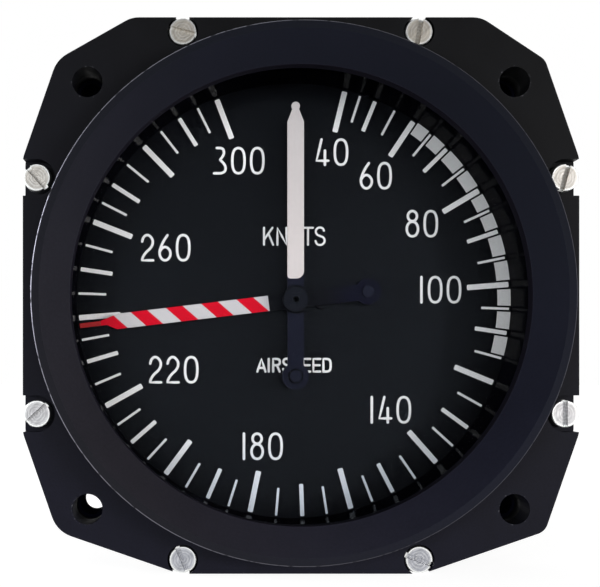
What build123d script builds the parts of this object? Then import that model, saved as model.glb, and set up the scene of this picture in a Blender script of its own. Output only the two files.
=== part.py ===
from build123d import *
import math
import os

# Airspeed indicator for a round 3-1/8 inch panel opening, in millimetres.
# X is to the right, Y goes into the panel and Z is up. The origin is where the
# dial axis meets the front face of the flange, which lies against the panel.
# A depth is a Y value: the viewer is at negative depth.

# Flange and panel mounting
ring_radius = 39.1
mount_margin = 5.35
mount_hole_radius = 2.25
flange_margin = 1.83
flange_thick = 5.0
lower_facet_inset = 23.03
upper_facet_right_inset = 14.43
upper_facet_left_inset = 16.03
side_facet_inset = 20.73
corner_inset_x = 5.03
corner_inset_z = 6.23
corner_round = 2.2
soft_corner_round = 4.5
facet_round = 4.0

# Screws that clamp the flange to the case
screw_edge_inset = 2.03
screw_corner_inset = 23.53
screw_head_radius = 2.0
screw_head_sink = 0.1
screw_shank_radius = 1.1
screw_length = 9.2
screw_slot_width = 0.75
screw_slot_depth = 0.9
pocket_depth = 2.5
side_pocket_radius = 2.7
end_pocket_radius = 2.25

# Bezel ring, glass and dial surround
ring_rise = 5.0
ring_edge_break = 0.2
ring_land = 1.0
ring_face_drop = 4.4
ring_lip_overlap = 1.0
ring_lip_chamfer = 0.12
ring_lip_thick = 1.6
ring_shoulder = 2.0
ring_step = 0.6
ring_step_depth = 0.5
gasket_thick = 0.4
glass_gap = 0.6
glass_thick = 2.0
surround_wall = 1.7
surround_taper = 0.5
dial_depth = 12.7
dial_thick = 0.8
dial_centre_hole_radius = 2.0
dial_screw_x = 4.4
dial_screw_head_radius = 1.35
dial_screw_head_height = 0.8
dial_screw_slot_width = 0.45
dial_screw_slot_depth = 0.4
dial_screw_radius = 0.7
dial_screw_length = 3.0

# Case
fit_gap = 0.02
running_gap = 0.05
seat_gap = 0.1
case_flange_thick = 5.0
case_flange_inset = 0.5
case_collar_wall = 2.2
case_collar_length = 6.0
case_wall = 3.0
dial_ledge = 2.6
seal_land = 1.1
seal_width = 1.7
seal_groove_depth = 1.2
insert_radius = 3.1
insert_bore_radius = 1.75
insert_sink = 3.0
insert_length = 7.8

# Rear cover and pressure ports
rear_gasket_thick = 0.4
cover_thick = 4.0
cover_edge_chamfer = 0.4
cover_screw_count = 6
cover_screw_radius = 0.9
cover_screw_head_radius = 1.8
cover_screw_head_height = 1.2
cover_screw_slot_width = 0.6
cover_screw_slot_depth = 0.6
cover_screw_length = 8.0
port_gap = 5.35
port_z = -12.0
port_length = 11.0
port_edge_chamfer = 0.5
port_bore_radius = 4.3
port_stub_wall = 0.7
port_throat_radius = 1.5
port_seal_width = 1.6
port_seal_cover = 0.55
port_seal_thick = 0.6

# Movement frame
frame_gap = 4.6
front_plate_gap = 1.0
front_plate_thick = 2.0
dial_boss_radius = 7.0
frame_space = 10.5
rear_plate_thick = 2.0
post_radius = 2.2
post_inset = 3.0
post_angles = (30, 150, 210, 330)
post_screw_radius = 0.9
post_screw_head_radius = 1.7
post_screw_head_height = 0.9
post_screw_depth = 4.0
bushing_radius = 2.6
bushing_overhang = 0.4
rear_bushing_radius = 1.6

# Hands and their staffs
airspeed_staff_radius = 0.5
airspeed_staff_rise = 0.6
staff_centre_radius = 0.32
staff_centre_depth = 0.6
airspeed_hand_height = 3.7
airspeed_hand_thick = 0.5
airspeed_hand_half_width = 1.28
airspeed_hand_point = 2.4
airspeed_tip_gap = 4.9
airspeed_hand_tip_radius = 0.66
airspeed_tail_length = 11.9
airspeed_tail_radius = 2.08
airspeed_tail_half_width = 1.25
airspeed_hub_radius = 2.08
airspeed_hub_neck_radius = 1.2
airspeed_hub_rise = 0.7
airspeed_hub_back = 0.4
rivet_radius = 1.08
rivet_height = 0.4
rivet_stem_radius = 0.6
counterweight_thick = 0.4

limit_staff_radius = 1.1
limit_staff_rise = 0.4
limit_staff_tail = 3.1
limit_hand_height = 1.8
limit_hand_thick = 0.4
limit_hand_half_width = 1.2
limit_hand_shoulder_drop = 6.2
limit_hand_neck_drop = 3.2
limit_hand_shoulder_low_drop = 5.7
limit_hand_neck_low_drop = 4.2
limit_tip_gap = 1.0
limit_hand_tip_half_width = 0.36
limit_tail_length = 11.6
limit_tail_radius = 2.03
limit_tail_half_width = 1.25
limit_hub_radius = 1.9
limit_hub_neck_radius = 1.5
limit_hub_back = 0.5
limit_rivet_radius = 0.95
limit_rivet_height = 0.3
limit_hand_rest_angle = 263.2

# Gears: the airspeed staff turns twelve times as far as its sector, the limit
# staff six times; a tooth's sizes are in modules
airspeed_module = 0.25
airspeed_pinion_teeth = 12
airspeed_sector_teeth = 144
airspeed_gear_gap = 5.9
limit_module = 0.3
limit_pinion_teeth = 16
limit_sector_teeth = 96
limit_gear_gap = 0.9
tooth_root = 1.2
tooth_root_half_width = 0.76
tooth_tip = 0.8
tooth_tip_half_width = 0.3
spare_teeth = 2
sector_thick = 1.2
pinion_overhang = 0.2
sector_hub_radius = 2.2
sector_rim = 2.4
sector_web = 7.2
sector_tail_length = 7.0
sector_tail_half_width = 1.6
sector_shaft_radius = 0.8
sector_pivot_radius = 0.5
sector_shaft_overhang = 0.2

# Levers, rocking shafts and links
lever_gap = 2.2
lever_thick = 1.2
lever_half_width = 0.6
lever_hub_radius = 2.0
lever_overhang = 1.0
airspeed_lever_length = 8.0
limit_lever_length = 7.0
airspeed_sector_travel = 28.75
limit_sector_low = -5 / 3
limit_sector_high = 20.0
airspeed_rocker_ratio = 1.3
limit_rocker_ratio = 1.15
rocker_stand = 6.8
rocker_radius = 0.8
rocker_half_length = 10.0
rocker_pivot_radius = 0.45
rocker_pivot_length = 1.1
finger_radius = 0.35
finger_overhang = 0.2
finger_gap = 0.45
airspeed_arm_length = 4.5
limit_arm_length = 4.0
arm_half_width = 0.8
arm_half_thick = 0.6
arm_pin_radius = 0.4
arm_pin_reach = 2.4
bracket_thick = 1.2
bracket_half_width = 2.5
bracket_overhang = 2.5
link_x = 1.5
link_half_thick = 0.6
link_half_height = 1.6
link_nose = 1.3
link_slot_half_width = 0.52
link_slot_half_height = 0.68

# Pressure capsules
capsule_radius = 16.0
capsule_height = 8.0
capsule_spacing = 2.0
aneroid_gap = 1.93
aneroid_height = 8.0
aneroid_post_length = 11.6
capsule_wall = 0.4
capsule_wave = 0.35
capsule_wave_pitch = 1.5
capsule_land = 1.0
capsule_rim_half = 0.5
capsule_boss_radius = 2.5
capsule_neck_radius = 1.5
yoke_stand = 8.0
yoke_length = 4.0
yoke_thick = 1.2
yoke_half_width = 2.2
stem_wall = 1.5
aneroid_post_radius = 2.0
aneroid_rod_radius = 0.6
pitot_tube_radius = 1.25
pitot_tube_bend = 3.0
pitot_tube_run = 6.0

# Hairspring
hairspring_gap = 2.5
hairspring_height = 0.4
hairspring_strip = 0.12
hairspring_coil_gap = 0.3
hairspring_half_turns = 20
hairspring_stud_radius = 0.45
collet_radius = 1.0
collet_height = 1.0

# Radii and places that follow from the sizes above
mount_pitch = math.sqrt(2) * (ring_radius + mount_margin)
flange_half = ring_radius + flange_margin
lower_facet_x = flange_half - lower_facet_inset
upper_facet_right_x = flange_half - upper_facet_right_inset
upper_facet_left_x = flange_half - upper_facet_left_inset
side_facet_z = flange_half - side_facet_inset
corner_x = flange_half - corner_inset_x
corner_z = flange_half - corner_inset_z
screw_far = flange_half - screw_edge_inset
screw_near = flange_half - screw_corner_inset
ring_spigot_radius = ring_radius - ring_shoulder
case_bore_radius = ring_spigot_radius + seat_gap
case_collar_radius = case_bore_radius + case_collar_wall
case_inner_radius = case_bore_radius - dial_ledge
case_outer_radius = case_inner_radius + case_wall
seal_inner_radius = case_bore_radius + seal_land
glass_radius = case_bore_radius - glass_gap
surround_inner_radius = glass_radius - surround_wall
ring_lip_radius = surround_inner_radius - ring_lip_overlap
port_stub_radius = port_bore_radius + port_stub_wall
port_seal_radius = port_stub_radius + port_seal_width
port_hex_flats = 2 * (port_seal_radius + port_seal_cover)
port_x = port_hex_flats / 2 + port_gap
frame_radius = case_inner_radius - frame_gap
post_circle_radius = frame_radius - post_inset
airspeed_hand_tip = surround_inner_radius - airspeed_tip_gap
airspeed_hand_shoulder = airspeed_hand_tip - airspeed_hand_point
limit_hand_tip = surround_inner_radius - limit_tip_gap
limit_hand_shoulder = limit_hand_tip - limit_hand_shoulder_drop
limit_hand_shoulder_low = limit_hand_tip - limit_hand_shoulder_low_drop
limit_hand_neck = limit_hand_tip - limit_hand_neck_drop
limit_hand_neck_low = limit_hand_tip - limit_hand_neck_low_drop
stem_radius = capsule_neck_radius + stem_wall

# Depths that follow from the sizes above
ring_back = ring_lip_thick
glass_front = ring_back + gasket_thick
glass_back = glass_front + glass_thick
surround_front = glass_back + gasket_thick
dial_back = dial_depth + dial_thick
airspeed_hand_depth = dial_depth - airspeed_hand_height
airspeed_staff_front = airspeed_hand_depth - airspeed_staff_rise
limit_hand_depth = dial_depth - limit_hand_height
limit_staff_front = limit_hand_depth - limit_staff_rise
case_flange_back = flange_thick + case_flange_thick
collar_back = case_flange_back + case_collar_length
front_plate_front = dial_back + front_plate_gap
front_plate_back = front_plate_front + front_plate_thick
rear_plate_front = front_plate_back + frame_space
rear_plate_back = rear_plate_front + rear_plate_thick
limit_gear_depth = front_plate_back + limit_gear_gap
limit_staff_back = limit_gear_depth + limit_staff_tail
airspeed_gear_depth = front_plate_back + airspeed_gear_gap
hairspring_depth = airspeed_gear_depth + hairspring_gap
lever_depth = rear_plate_back + lever_gap
lever_back = lever_depth + lever_thick
sector_shaft_back = lever_back + sector_shaft_overhang
rocker_depth = lever_depth + rocker_stand
finger_length = rocker_stand + finger_overhang
yoke_depth = rocker_depth + yoke_stand
capsule_front = yoke_depth + yoke_length
capsule_back = capsule_front + capsule_height
aneroid_front = capsule_back + capsule_spacing
aneroid_back = aneroid_front + aneroid_height
case_length = aneroid_back + aneroid_post_length
cover_front = case_length + rear_gasket_thick
cover_back = cover_front + cover_thick

# Pivot places, as seen from the front
airspeed_sector_z = -airspeed_module * (airspeed_pinion_teeth + airspeed_sector_teeth) / 2
limit_sector_z = limit_module * (limit_pinion_teeth + limit_sector_teeth) / 2
finger_offset = lever_half_width + finger_radius + finger_gap
airspeed_rocker_z = airspeed_sector_z - finger_offset
limit_rocker_z = limit_sector_z + finger_offset
posts = [
    (
        post_circle_radius * math.cos(math.radians(angle)),
        post_circle_radius * math.sin(math.radians(angle)),
    )
    for angle in post_angles
]

# Angles at rest, away from the middle of each travel
airspeed_lever_rest = airspeed_sector_travel / 2
airspeed_rocker_rest = airspeed_rocker_ratio * airspeed_lever_rest
limit_lever_rest = -(limit_sector_low + limit_sector_high) / 2
limit_rocker_rest = limit_rocker_ratio * limit_lever_rest

# Link ends at rest
airspeed_pin_depth = rocker_depth + airspeed_arm_length * math.sin(
    math.radians(airspeed_rocker_rest)
)
airspeed_pin_z = airspeed_rocker_z - airspeed_arm_length * (
    1 + math.cos(math.radians(airspeed_rocker_rest))
) / 2
limit_pin_depth = rocker_depth - limit_arm_length * math.sin(
    math.radians(limit_rocker_rest)
)
limit_pin_z = limit_rocker_z + limit_arm_length * (
    1 + math.cos(math.radians(limit_rocker_rest))
) / 2
aneroid_radius = case_inner_radius - limit_pin_z - aneroid_gap

# Flange outline, counter-clockwise from the right end of the lower edge, with
# the radius that rounds each corner
flange_corners = [
    ((lower_facet_x, -flange_half), facet_round),
    ((corner_x, -corner_z), corner_round),
    ((flange_half, -side_facet_z), facet_round),
    ((flange_half, side_facet_z), facet_round),
    ((corner_x, corner_z), corner_round),
    ((upper_facet_right_x, flange_half), facet_round),
    ((-upper_facet_left_x, flange_half), facet_round),
    ((-corner_x, corner_z), soft_corner_round),
    ((-flange_half, side_facet_z), facet_round),
    ((-flange_half, -side_facet_z), facet_round),
    ((-corner_x, -corner_z), soft_corner_round),
    ((-lower_facet_x, -flange_half), facet_round),
]

# Bezel screws: place, and the angle that each slot was left at
side_screws = [
    ((-screw_far, screw_near), -48),
    ((-screw_far, -screw_near), 43),
    ((screw_far, screw_near), 75),
    ((screw_far, -screw_near), 90),
]
end_screws = [
    ((-screw_near, screw_far), -14),
    ((screw_near, screw_far), 80),
    ((-screw_near, -screw_far), -66),
    ((screw_near, -screw_far), -20),
]
bezel_screw_places = [place for place, angle in side_screws + end_screws]


def facing(depth):
    """Plane across the dial axis, seen from the front: its first axis is X, its second Z."""
    return Plane.XZ.offset(-depth)


def side_view(x):
    """Plane across the X axis: its first axis is Y, its second Z."""
    return Plane.YZ.offset(x)


def tooth_points(teeth, module, angle):
    """Four outline points of one straight-sided tooth at an angle from X."""
    pitch_radius = teeth * module / 2
    root, tip = pitch_radius - tooth_root * module, pitch_radius + tooth_tip * module
    corners = [
        (root, -tooth_root_half_width),
        (tip, -tooth_tip_half_width),
        (tip, tooth_tip_half_width),
        (root, tooth_root_half_width),
    ]
    cosine, sine = math.cos(math.radians(angle)), math.sin(math.radians(angle))
    return [
        (radius * cosine - side * module * sine, radius * sine + side * module * cosine)
        for radius, side in corners
    ]


def gear_points(teeth, module, toward, first, last):
    """Teeth from number first to number last, where number 0 points toward an angle."""
    points = []
    for number in range(first, last + 1):
        points += tooth_points(teeth, module, toward + number * 360 / teeth)
    return points


def capsule_profile(radius, front, back, neck):
    """Half section of a corrugated capsule, open at its neck."""
    middle = (front + back) / 2
    rim_front, rim_back = middle - capsule_rim_half, middle + capsule_rim_half
    face_front, face_back = front + 2 * capsule_wave, back - 2 * capsule_wave
    start, step = capsule_boss_radius + capsule_land, capsule_wave_pitch
    count = int((radius - 2 * step - start) / step)
    waves = [(start + step * i, capsule_wave * (-1) ** i) for i in range(count)]
    shoulder = radius - step
    outside = [(0, front), (capsule_boss_radius, front)]
    outside += [(r, face_front + rise) for r, rise in waves]
    outside += [(shoulder, face_front), (radius, rim_front), (radius, rim_back), (shoulder, face_back)]
    outside += [(r, face_back - rise) for r, rise in reversed(waves)]
    outside += [(capsule_boss_radius, back), (neck, back)]
    hollow = [(neck, back - 2 * capsule_wall)]
    hollow += [(r, face_back - rise - capsule_wall) for r, rise in waves]
    hollow += [(shoulder - capsule_wall, face_back - capsule_wall)]
    hollow += [(shoulder - capsule_wall, face_front + capsule_wall)]
    hollow += [(r, face_front + rise + capsule_wall) for r, rise in reversed(waves)]
    hollow += [(capsule_boss_radius, front + 2 * capsule_wall), (0, front + 2 * capsule_wall)]
    return outside + hollow


# Bezel flange: the black plate that shows around the ring
with BuildPart() as bezel_flange:
    with BuildSketch(facing(flange_thick)):
        with BuildLine():
            FilletPolyline(
                *[corner for corner, radius in flange_corners],
                radius=[radius for corner, radius in flange_corners],
                close=True,
            )
        make_face()
    extrude(amount=flange_thick)
    with BuildSketch(facing(flange_thick)):
        Circle(case_bore_radius)
        with GridLocations(mount_pitch, mount_pitch, 2, 2):
            Circle(mount_hole_radius)
        with Locations(*bezel_screw_places):
            Circle(screw_shank_radius + running_gap)
    extrude(amount=flange_thick, mode=Mode.SUBTRACT)
    with BuildSketch(facing(ring_step_depth)):
        Circle(ring_radius + ring_step + running_gap)
    extrude(amount=ring_step_depth, mode=Mode.SUBTRACT)
    with BuildSketch(facing(pocket_depth)):
        for (x, z), angle in side_screws:
            with Locations((x, z)):
                Circle(side_pocket_radius)
            with Locations((math.copysign(screw_far + side_pocket_radius, x), z)):
                Rectangle(2 * side_pocket_radius, 2 * side_pocket_radius)
        with Locations(*[place for place, angle in end_screws]):
            Circle(end_pocket_radius)
    extrude(amount=pocket_depth, mode=Mode.SUBTRACT)
bezel_flange.part.label = "bezel_flange"

# Bezel ring: a round land, then a face that slopes in to the lip over the glass,
# on a thin step that is let into the flange
with BuildPart() as bezel_ring:
    with BuildSketch(Plane.XY):
        with BuildLine():
            Polyline(
                (ring_radius + ring_step, ring_step_depth),
                (ring_radius + ring_step, 0),
                (ring_radius, 0),
                (ring_radius, ring_edge_break - ring_rise),
                (ring_radius - ring_edge_break, -ring_rise),
                (ring_radius - ring_edge_break - ring_land, -ring_rise),
                (ring_lip_radius + ring_lip_chamfer, ring_face_drop - ring_rise),
                (ring_lip_radius, ring_face_drop - ring_rise + ring_lip_chamfer / 2),
                (ring_lip_radius, ring_back),
                (ring_spigot_radius, ring_back),
                (ring_spigot_radius, ring_step_depth),
                close=True,
            )
        make_face()
    revolve(axis=Axis.Y)
bezel_ring.part.label = "bezel_ring"

# Eight slotted cheese-head screws
with BuildPart() as bezel_screws:
    with BuildSketch(facing(pocket_depth)):
        with Locations(*bezel_screw_places):
            Circle(screw_head_radius)
    extrude(amount=pocket_depth - screw_head_sink)
    chamfer(bezel_screws.edges().group_by(Axis.Y)[0], length=screw_head_sink)
    with BuildSketch(facing(screw_length)):
        with Locations(*bezel_screw_places):
            Circle(screw_shank_radius)
    extrude(amount=screw_length - pocket_depth)
    with BuildSketch(facing(screw_head_sink + screw_slot_depth)):
        for place, angle in side_screws + end_screws:
            with Locations(place):
                Rectangle(3 * screw_head_radius, screw_slot_width, rotation=angle)
    extrude(amount=screw_slot_depth, mode=Mode.SUBTRACT)
bezel_screws.part.label = "bezel_screws"

# Glass with a gasket in front of it and one behind
with BuildPart() as cover_glass:
    with BuildSketch(facing(glass_back)):
        Circle(glass_radius)
    extrude(amount=glass_thick)
cover_glass.part.label = "cover_glass"

with BuildPart() as glass_gaskets:
    for back in (glass_front, surround_front):
        with BuildSketch(facing(back)):
            Circle(glass_radius)
            Circle(surround_inner_radius, mode=Mode.SUBTRACT)
        extrude(amount=gasket_thick)
glass_gaskets.part.label = "glass_gaskets"

# Glossy wall between the glass and the dial, a little narrower at the dial
with BuildPart() as dial_surround:
    with BuildSketch(Plane.XY):
        with BuildLine():
            Polyline(
                (surround_inner_radius - surround_taper, dial_depth),
                (surround_inner_radius, surround_front),
                (glass_radius, surround_front),
                (glass_radius, dial_depth),
                close=True,
            )
        make_face()
    revolve(axis=Axis.Y)
dial_surround.part.label = "dial_surround"

with BuildPart() as dial_plate:
    with BuildSketch(facing(dial_back)):
        Circle(glass_radius)
        Circle(dial_centre_hole_radius, mode=Mode.SUBTRACT)
        with GridLocations(2 * dial_screw_x, 1, 2, 1):
            Circle(dial_screw_radius + running_gap, mode=Mode.SUBTRACT)
    extrude(amount=dial_thick)
dial_plate.part.label = "dial_plate"

with BuildPart() as dial_screws:
    with BuildSketch(facing(dial_depth)):
        with GridLocations(2 * dial_screw_x, 1, 2, 1):
            Circle(dial_screw_head_radius)
    extrude(amount=dial_screw_head_height)
    with BuildSketch(facing(dial_depth + dial_screw_length)):
        with GridLocations(2 * dial_screw_x, 1, 2, 1):
            Circle(dial_screw_radius)
    extrude(amount=dial_screw_length)
    with BuildSketch(facing(dial_depth - dial_screw_head_height + dial_screw_slot_depth)):
        with GridLocations(2 * dial_screw_x, 1, 2, 1):
            Rectangle(3 * dial_screw_head_radius, dial_screw_slot_width)
    extrude(amount=dial_screw_slot_depth, mode=Mode.SUBTRACT)
dial_screws.part.label = "dial_screws"

# Case: a flange of the same outline, a collar and a barrel, stepped inside so
# that the dial rests on a ledge
with BuildPart() as case_shell:
    with BuildSketch(facing(case_flange_back)):
        with BuildLine():
            FilletPolyline(
                *[corner for corner, radius in flange_corners],
                radius=[radius for corner, radius in flange_corners],
                close=True,
            )
        make_face()
        offset(amount=-case_flange_inset)
    extrude(amount=case_flange_thick)
    with BuildSketch(Plane.XY):
        with BuildLine():
            Polyline(
                (case_inner_radius, flange_thick),
                (case_collar_radius, flange_thick),
                (case_collar_radius, collar_back),
                (case_outer_radius, collar_back + case_collar_radius - case_outer_radius),
                (case_outer_radius, case_length),
                (case_inner_radius, case_length),
                close=True,
            )
        make_face()
    revolve(axis=Axis.Y)
    with BuildSketch(facing(dial_back)):
        Circle(case_bore_radius)
    extrude(amount=dial_back - flange_thick, mode=Mode.SUBTRACT)
    with BuildSketch(facing(flange_thick + seal_groove_depth)):
        Circle(seal_inner_radius + seal_width)
        Circle(seal_inner_radius, mode=Mode.SUBTRACT)
    extrude(amount=seal_groove_depth, mode=Mode.SUBTRACT)
    with BuildSketch(facing(case_flange_back)):
        with GridLocations(mount_pitch, mount_pitch, 2, 2):
            Circle(mount_hole_radius)
        with Locations(*bezel_screw_places):
            Circle(screw_shank_radius + fit_gap)
    extrude(amount=case_flange_thick, mode=Mode.SUBTRACT)
    with BuildSketch(facing(case_flange_back)):
        with GridLocations(mount_pitch, mount_pitch, 2, 2):
            Circle(insert_radius + fit_gap)
    extrude(amount=case_flange_thick - insert_sink, mode=Mode.SUBTRACT)
    cover_screw_circle = (case_inner_radius + case_outer_radius) / 2
    with BuildSketch(facing(case_length)):
        with PolarLocations(cover_screw_circle, cover_screw_count, start_angle=90):
            Circle(cover_screw_radius + fit_gap)
    extrude(amount=cover_screw_length, mode=Mode.SUBTRACT)
case_shell.part.label = "case_shell"

with BuildPart() as flange_seal:
    with BuildSketch(facing(flange_thick + seal_groove_depth)):
        Circle(seal_inner_radius + seal_width - seat_gap)
        Circle(seal_inner_radius + seat_gap, mode=Mode.SUBTRACT)
    extrude(amount=seal_groove_depth)
flange_seal.part.label = "flange_seal"

# Threaded inserts that take the panel screws
insert_front = flange_thick + insert_sink
with BuildPart() as mount_inserts:
    with BuildSketch(facing(insert_front + insert_length)):
        with GridLocations(mount_pitch, mount_pitch, 2, 2):
            Circle(insert_radius)
            Circle(insert_bore_radius, mode=Mode.SUBTRACT)
    extrude(amount=insert_length)
mount_inserts.part.label = "mount_inserts"

# Rear cover with its gasket, screws and the two pressure ports
with BuildPart() as rear_gasket:
    with BuildSketch(facing(cover_front)):
        Circle(case_outer_radius)
        Circle(case_inner_radius, mode=Mode.SUBTRACT)
        with PolarLocations(cover_screw_circle, cover_screw_count, start_angle=90):
            Circle(cover_screw_radius + running_gap, mode=Mode.SUBTRACT)
    extrude(amount=rear_gasket_thick)
rear_gasket.part.label = "rear_gasket"

with BuildPart() as rear_cover:
    with BuildSketch(facing(cover_back)):
        Circle(case_outer_radius)
        with PolarLocations(cover_screw_circle, cover_screw_count, start_angle=90):
            Circle(cover_screw_radius + running_gap, mode=Mode.SUBTRACT)
        with Locations(*posts):
            Circle(post_screw_radius + running_gap, mode=Mode.SUBTRACT)
        with Locations((-port_x, port_z), (port_x, port_z)):
            Circle(port_stub_radius + fit_gap, mode=Mode.SUBTRACT)
    extrude(amount=cover_thick)
    with BuildSketch(facing(cover_back)):
        with Locations((-port_x, port_z), (port_x, port_z)):
            Circle(port_seal_radius + seat_gap)
    extrude(amount=port_seal_thick, mode=Mode.SUBTRACT)
    chamfer(rear_cover.faces().sort_by(Axis.Y)[-1].outer_wire().edges(), length=cover_edge_chamfer)
rear_cover.part.label = "rear_cover"

with BuildPart() as rear_cover_screws:
    with BuildSketch(facing(cover_back + cover_screw_head_height)):
        with PolarLocations(cover_screw_circle, cover_screw_count, start_angle=90):
            Circle(cover_screw_head_radius)
    extrude(amount=cover_screw_head_height)
    with BuildSketch(facing(cover_back)):
        with PolarLocations(cover_screw_circle, cover_screw_count, start_angle=90):
            Circle(cover_screw_radius)
    extrude(amount=cover_screw_length)
    with BuildSketch(facing(cover_back + cover_screw_head_height)):
        with PolarLocations(cover_screw_circle, cover_screw_count, start_angle=90):
            Rectangle(3 * cover_screw_head_radius, cover_screw_slot_width)
    extrude(amount=cover_screw_slot_depth, mode=Mode.SUBTRACT)
rear_cover_screws.part.label = "rear_cover_screws"

port_back = cover_back + port_length
ports = {}
for port_name, side in (("pitot_port", -1), ("static_port", 1)):
    with BuildPart() as port:
        with BuildSketch(facing(port_back)):
            with Locations((side * port_x, port_z)):
                RegularPolygon(port_hex_flats / 2, 6, major_radius=False)
        extrude(amount=port_length)
        chamfer(port.faces().sort_by(Axis.Y)[-1].outer_wire().edges(), length=port_edge_chamfer)
        with BuildSketch(facing(cover_back)):
            with Locations((side * port_x, port_z)):
                Circle(port_stub_radius)
        extrude(amount=cover_thick)
        with BuildSketch(facing(port_back)):
            with Locations((side * port_x, port_z)):
                Circle(port_bore_radius)
        extrude(amount=port_length, mode=Mode.SUBTRACT)
        with BuildSketch(facing(port_back)):
            with Locations((side * port_x, port_z)):
                Circle(port_throat_radius)
        extrude(amount=port_length + cover_thick, mode=Mode.SUBTRACT)
    port.part.label = port_name
    ports[port_name] = port

with BuildPart() as port_seals:
    with BuildSketch(facing(cover_back)):
        with Locations((-port_x, port_z), (port_x, port_z)):
            Circle(port_seal_radius)
            Circle(port_stub_radius + seat_gap, mode=Mode.SUBTRACT)
    extrude(amount=port_seal_thick)
port_seals.part.label = "port_seals"

# Movement frame: two plates held apart by pillars, on standoffs from the cover
with BuildPart() as front_plate:
    with BuildSketch(facing(front_plate_back)):
        Circle(frame_radius)
    extrude(amount=front_plate_thick)
    with BuildSketch(facing(front_plate_front)):
        Circle(dial_boss_radius)
    extrude(amount=front_plate_gap)
    with BuildSketch(facing(front_plate_back)):
        Circle(bushing_radius + fit_gap)
        with GridLocations(2 * dial_screw_x, 1, 2, 1):
            Circle(dial_screw_radius + fit_gap)
        with Locations((0, airspeed_sector_z), (0, limit_sector_z)):
            Circle(sector_pivot_radius + running_gap)
        with Locations(*posts):
            Circle(post_screw_radius + running_gap)
    extrude(amount=front_plate_thick + front_plate_gap, mode=Mode.SUBTRACT)
front_plate.part.label = "front_plate"

with BuildPart() as rear_plate:
    with BuildSketch(facing(rear_plate_back)):
        Circle(frame_radius)
        Circle(rear_bushing_radius + fit_gap, mode=Mode.SUBTRACT)
        with Locations((0, airspeed_sector_z), (0, limit_sector_z)):
            Circle(sector_shaft_radius + running_gap, mode=Mode.SUBTRACT)
        with Locations(*posts):
            Circle(post_screw_radius + fit_gap, mode=Mode.SUBTRACT)
    extrude(amount=rear_plate_thick)
rear_plate.part.label = "rear_plate"

with BuildPart() as frame_pillars:
    with BuildSketch(facing(rear_plate_front)):
        with Locations(*posts):
            Circle(post_radius)
            Circle(post_screw_radius + fit_gap, mode=Mode.SUBTRACT)
    extrude(amount=frame_space)
frame_pillars.part.label = "frame_pillars"

with BuildPart() as front_plate_screws:
    with BuildSketch(facing(front_plate_front)):
        with Locations(*posts):
            Circle(post_screw_head_radius)
    extrude(amount=post_screw_head_height)
    with BuildSketch(facing(front_plate_back + post_screw_depth)):
        with Locations(*posts):
            Circle(post_screw_radius)
    extrude(amount=post_screw_depth + front_plate_thick)
front_plate_screws.part.label = "front_plate_screws"

with BuildPart() as standoffs:
    with BuildSketch(facing(cover_front)):
        with Locations(*posts):
            RegularPolygon(post_radius, 6, major_radius=False)
    extrude(amount=cover_front - rear_plate_back)
    with BuildSketch(facing(cover_front)):
        with Locations(*posts):
            Circle(post_screw_radius + fit_gap)
    extrude(amount=post_screw_depth + fit_gap, mode=Mode.SUBTRACT)
    with BuildSketch(facing(rear_plate_back)):
        with Locations(*posts):
            Circle(post_screw_radius)
    extrude(amount=rear_plate_thick + post_screw_depth)
standoffs.part.label = "standoffs"

with BuildPart() as standoff_screws:
    with BuildSketch(facing(cover_back + cover_screw_head_height)):
        with Locations(*posts):
            Circle(cover_screw_head_radius)
    extrude(amount=cover_screw_head_height)
    with BuildSketch(facing(cover_back)):
        with Locations(*posts):
            Circle(post_screw_radius)
    extrude(amount=cover_thick + post_screw_depth)
    with BuildSketch(facing(cover_back + cover_screw_head_height)):
        with Locations(*posts):
            Rectangle(3 * cover_screw_head_radius, cover_screw_slot_width)
    extrude(amount=cover_screw_slot_depth, mode=Mode.SUBTRACT)
standoff_screws.part.label = "standoff_screws"

with BuildPart() as staff_bushing:
    with BuildSketch(facing(front_plate_back + bushing_overhang)):
        Circle(bushing_radius)
        Circle(limit_staff_radius + running_gap, mode=Mode.SUBTRACT)
    extrude(amount=bushing_overhang + front_plate_thick + front_plate_gap - seat_gap)
staff_bushing.part.label = "staff_bushing"

with BuildPart() as rear_bushing:
    with BuildSketch(facing(rear_plate_back)):
        Circle(rear_bushing_radius)
        Circle(airspeed_staff_radius + running_gap, mode=Mode.SUBTRACT)
    extrude(amount=rear_plate_thick)
rear_bushing.part.label = "rear_bushing"

# Airspeed hand: staff with pinion, hub, blade and counterweight
with BuildPart() as airspeed_staff:
    with BuildSketch(facing(rear_plate_back - seat_gap)):
        Circle(airspeed_staff_radius)
    extrude(amount=rear_plate_back - seat_gap - airspeed_staff_front)
    with BuildSketch(facing(airspeed_gear_depth + sector_thick + pinion_overhang)):
        with BuildLine():
            Polyline(
                *gear_points(
                    airspeed_pinion_teeth,
                    airspeed_module,
                    -90 + 180 / airspeed_pinion_teeth,
                    0,
                    airspeed_pinion_teeth - 1,
                ),
                close=True,
            )
        make_face()
    extrude(amount=sector_thick + 2 * pinion_overhang)
    with BuildSketch(facing(airspeed_staff_front + staff_centre_depth)):
        Circle(staff_centre_radius)
    extrude(amount=staff_centre_depth, mode=Mode.SUBTRACT)
airspeed_staff.part.label = "airspeed_staff"

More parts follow.
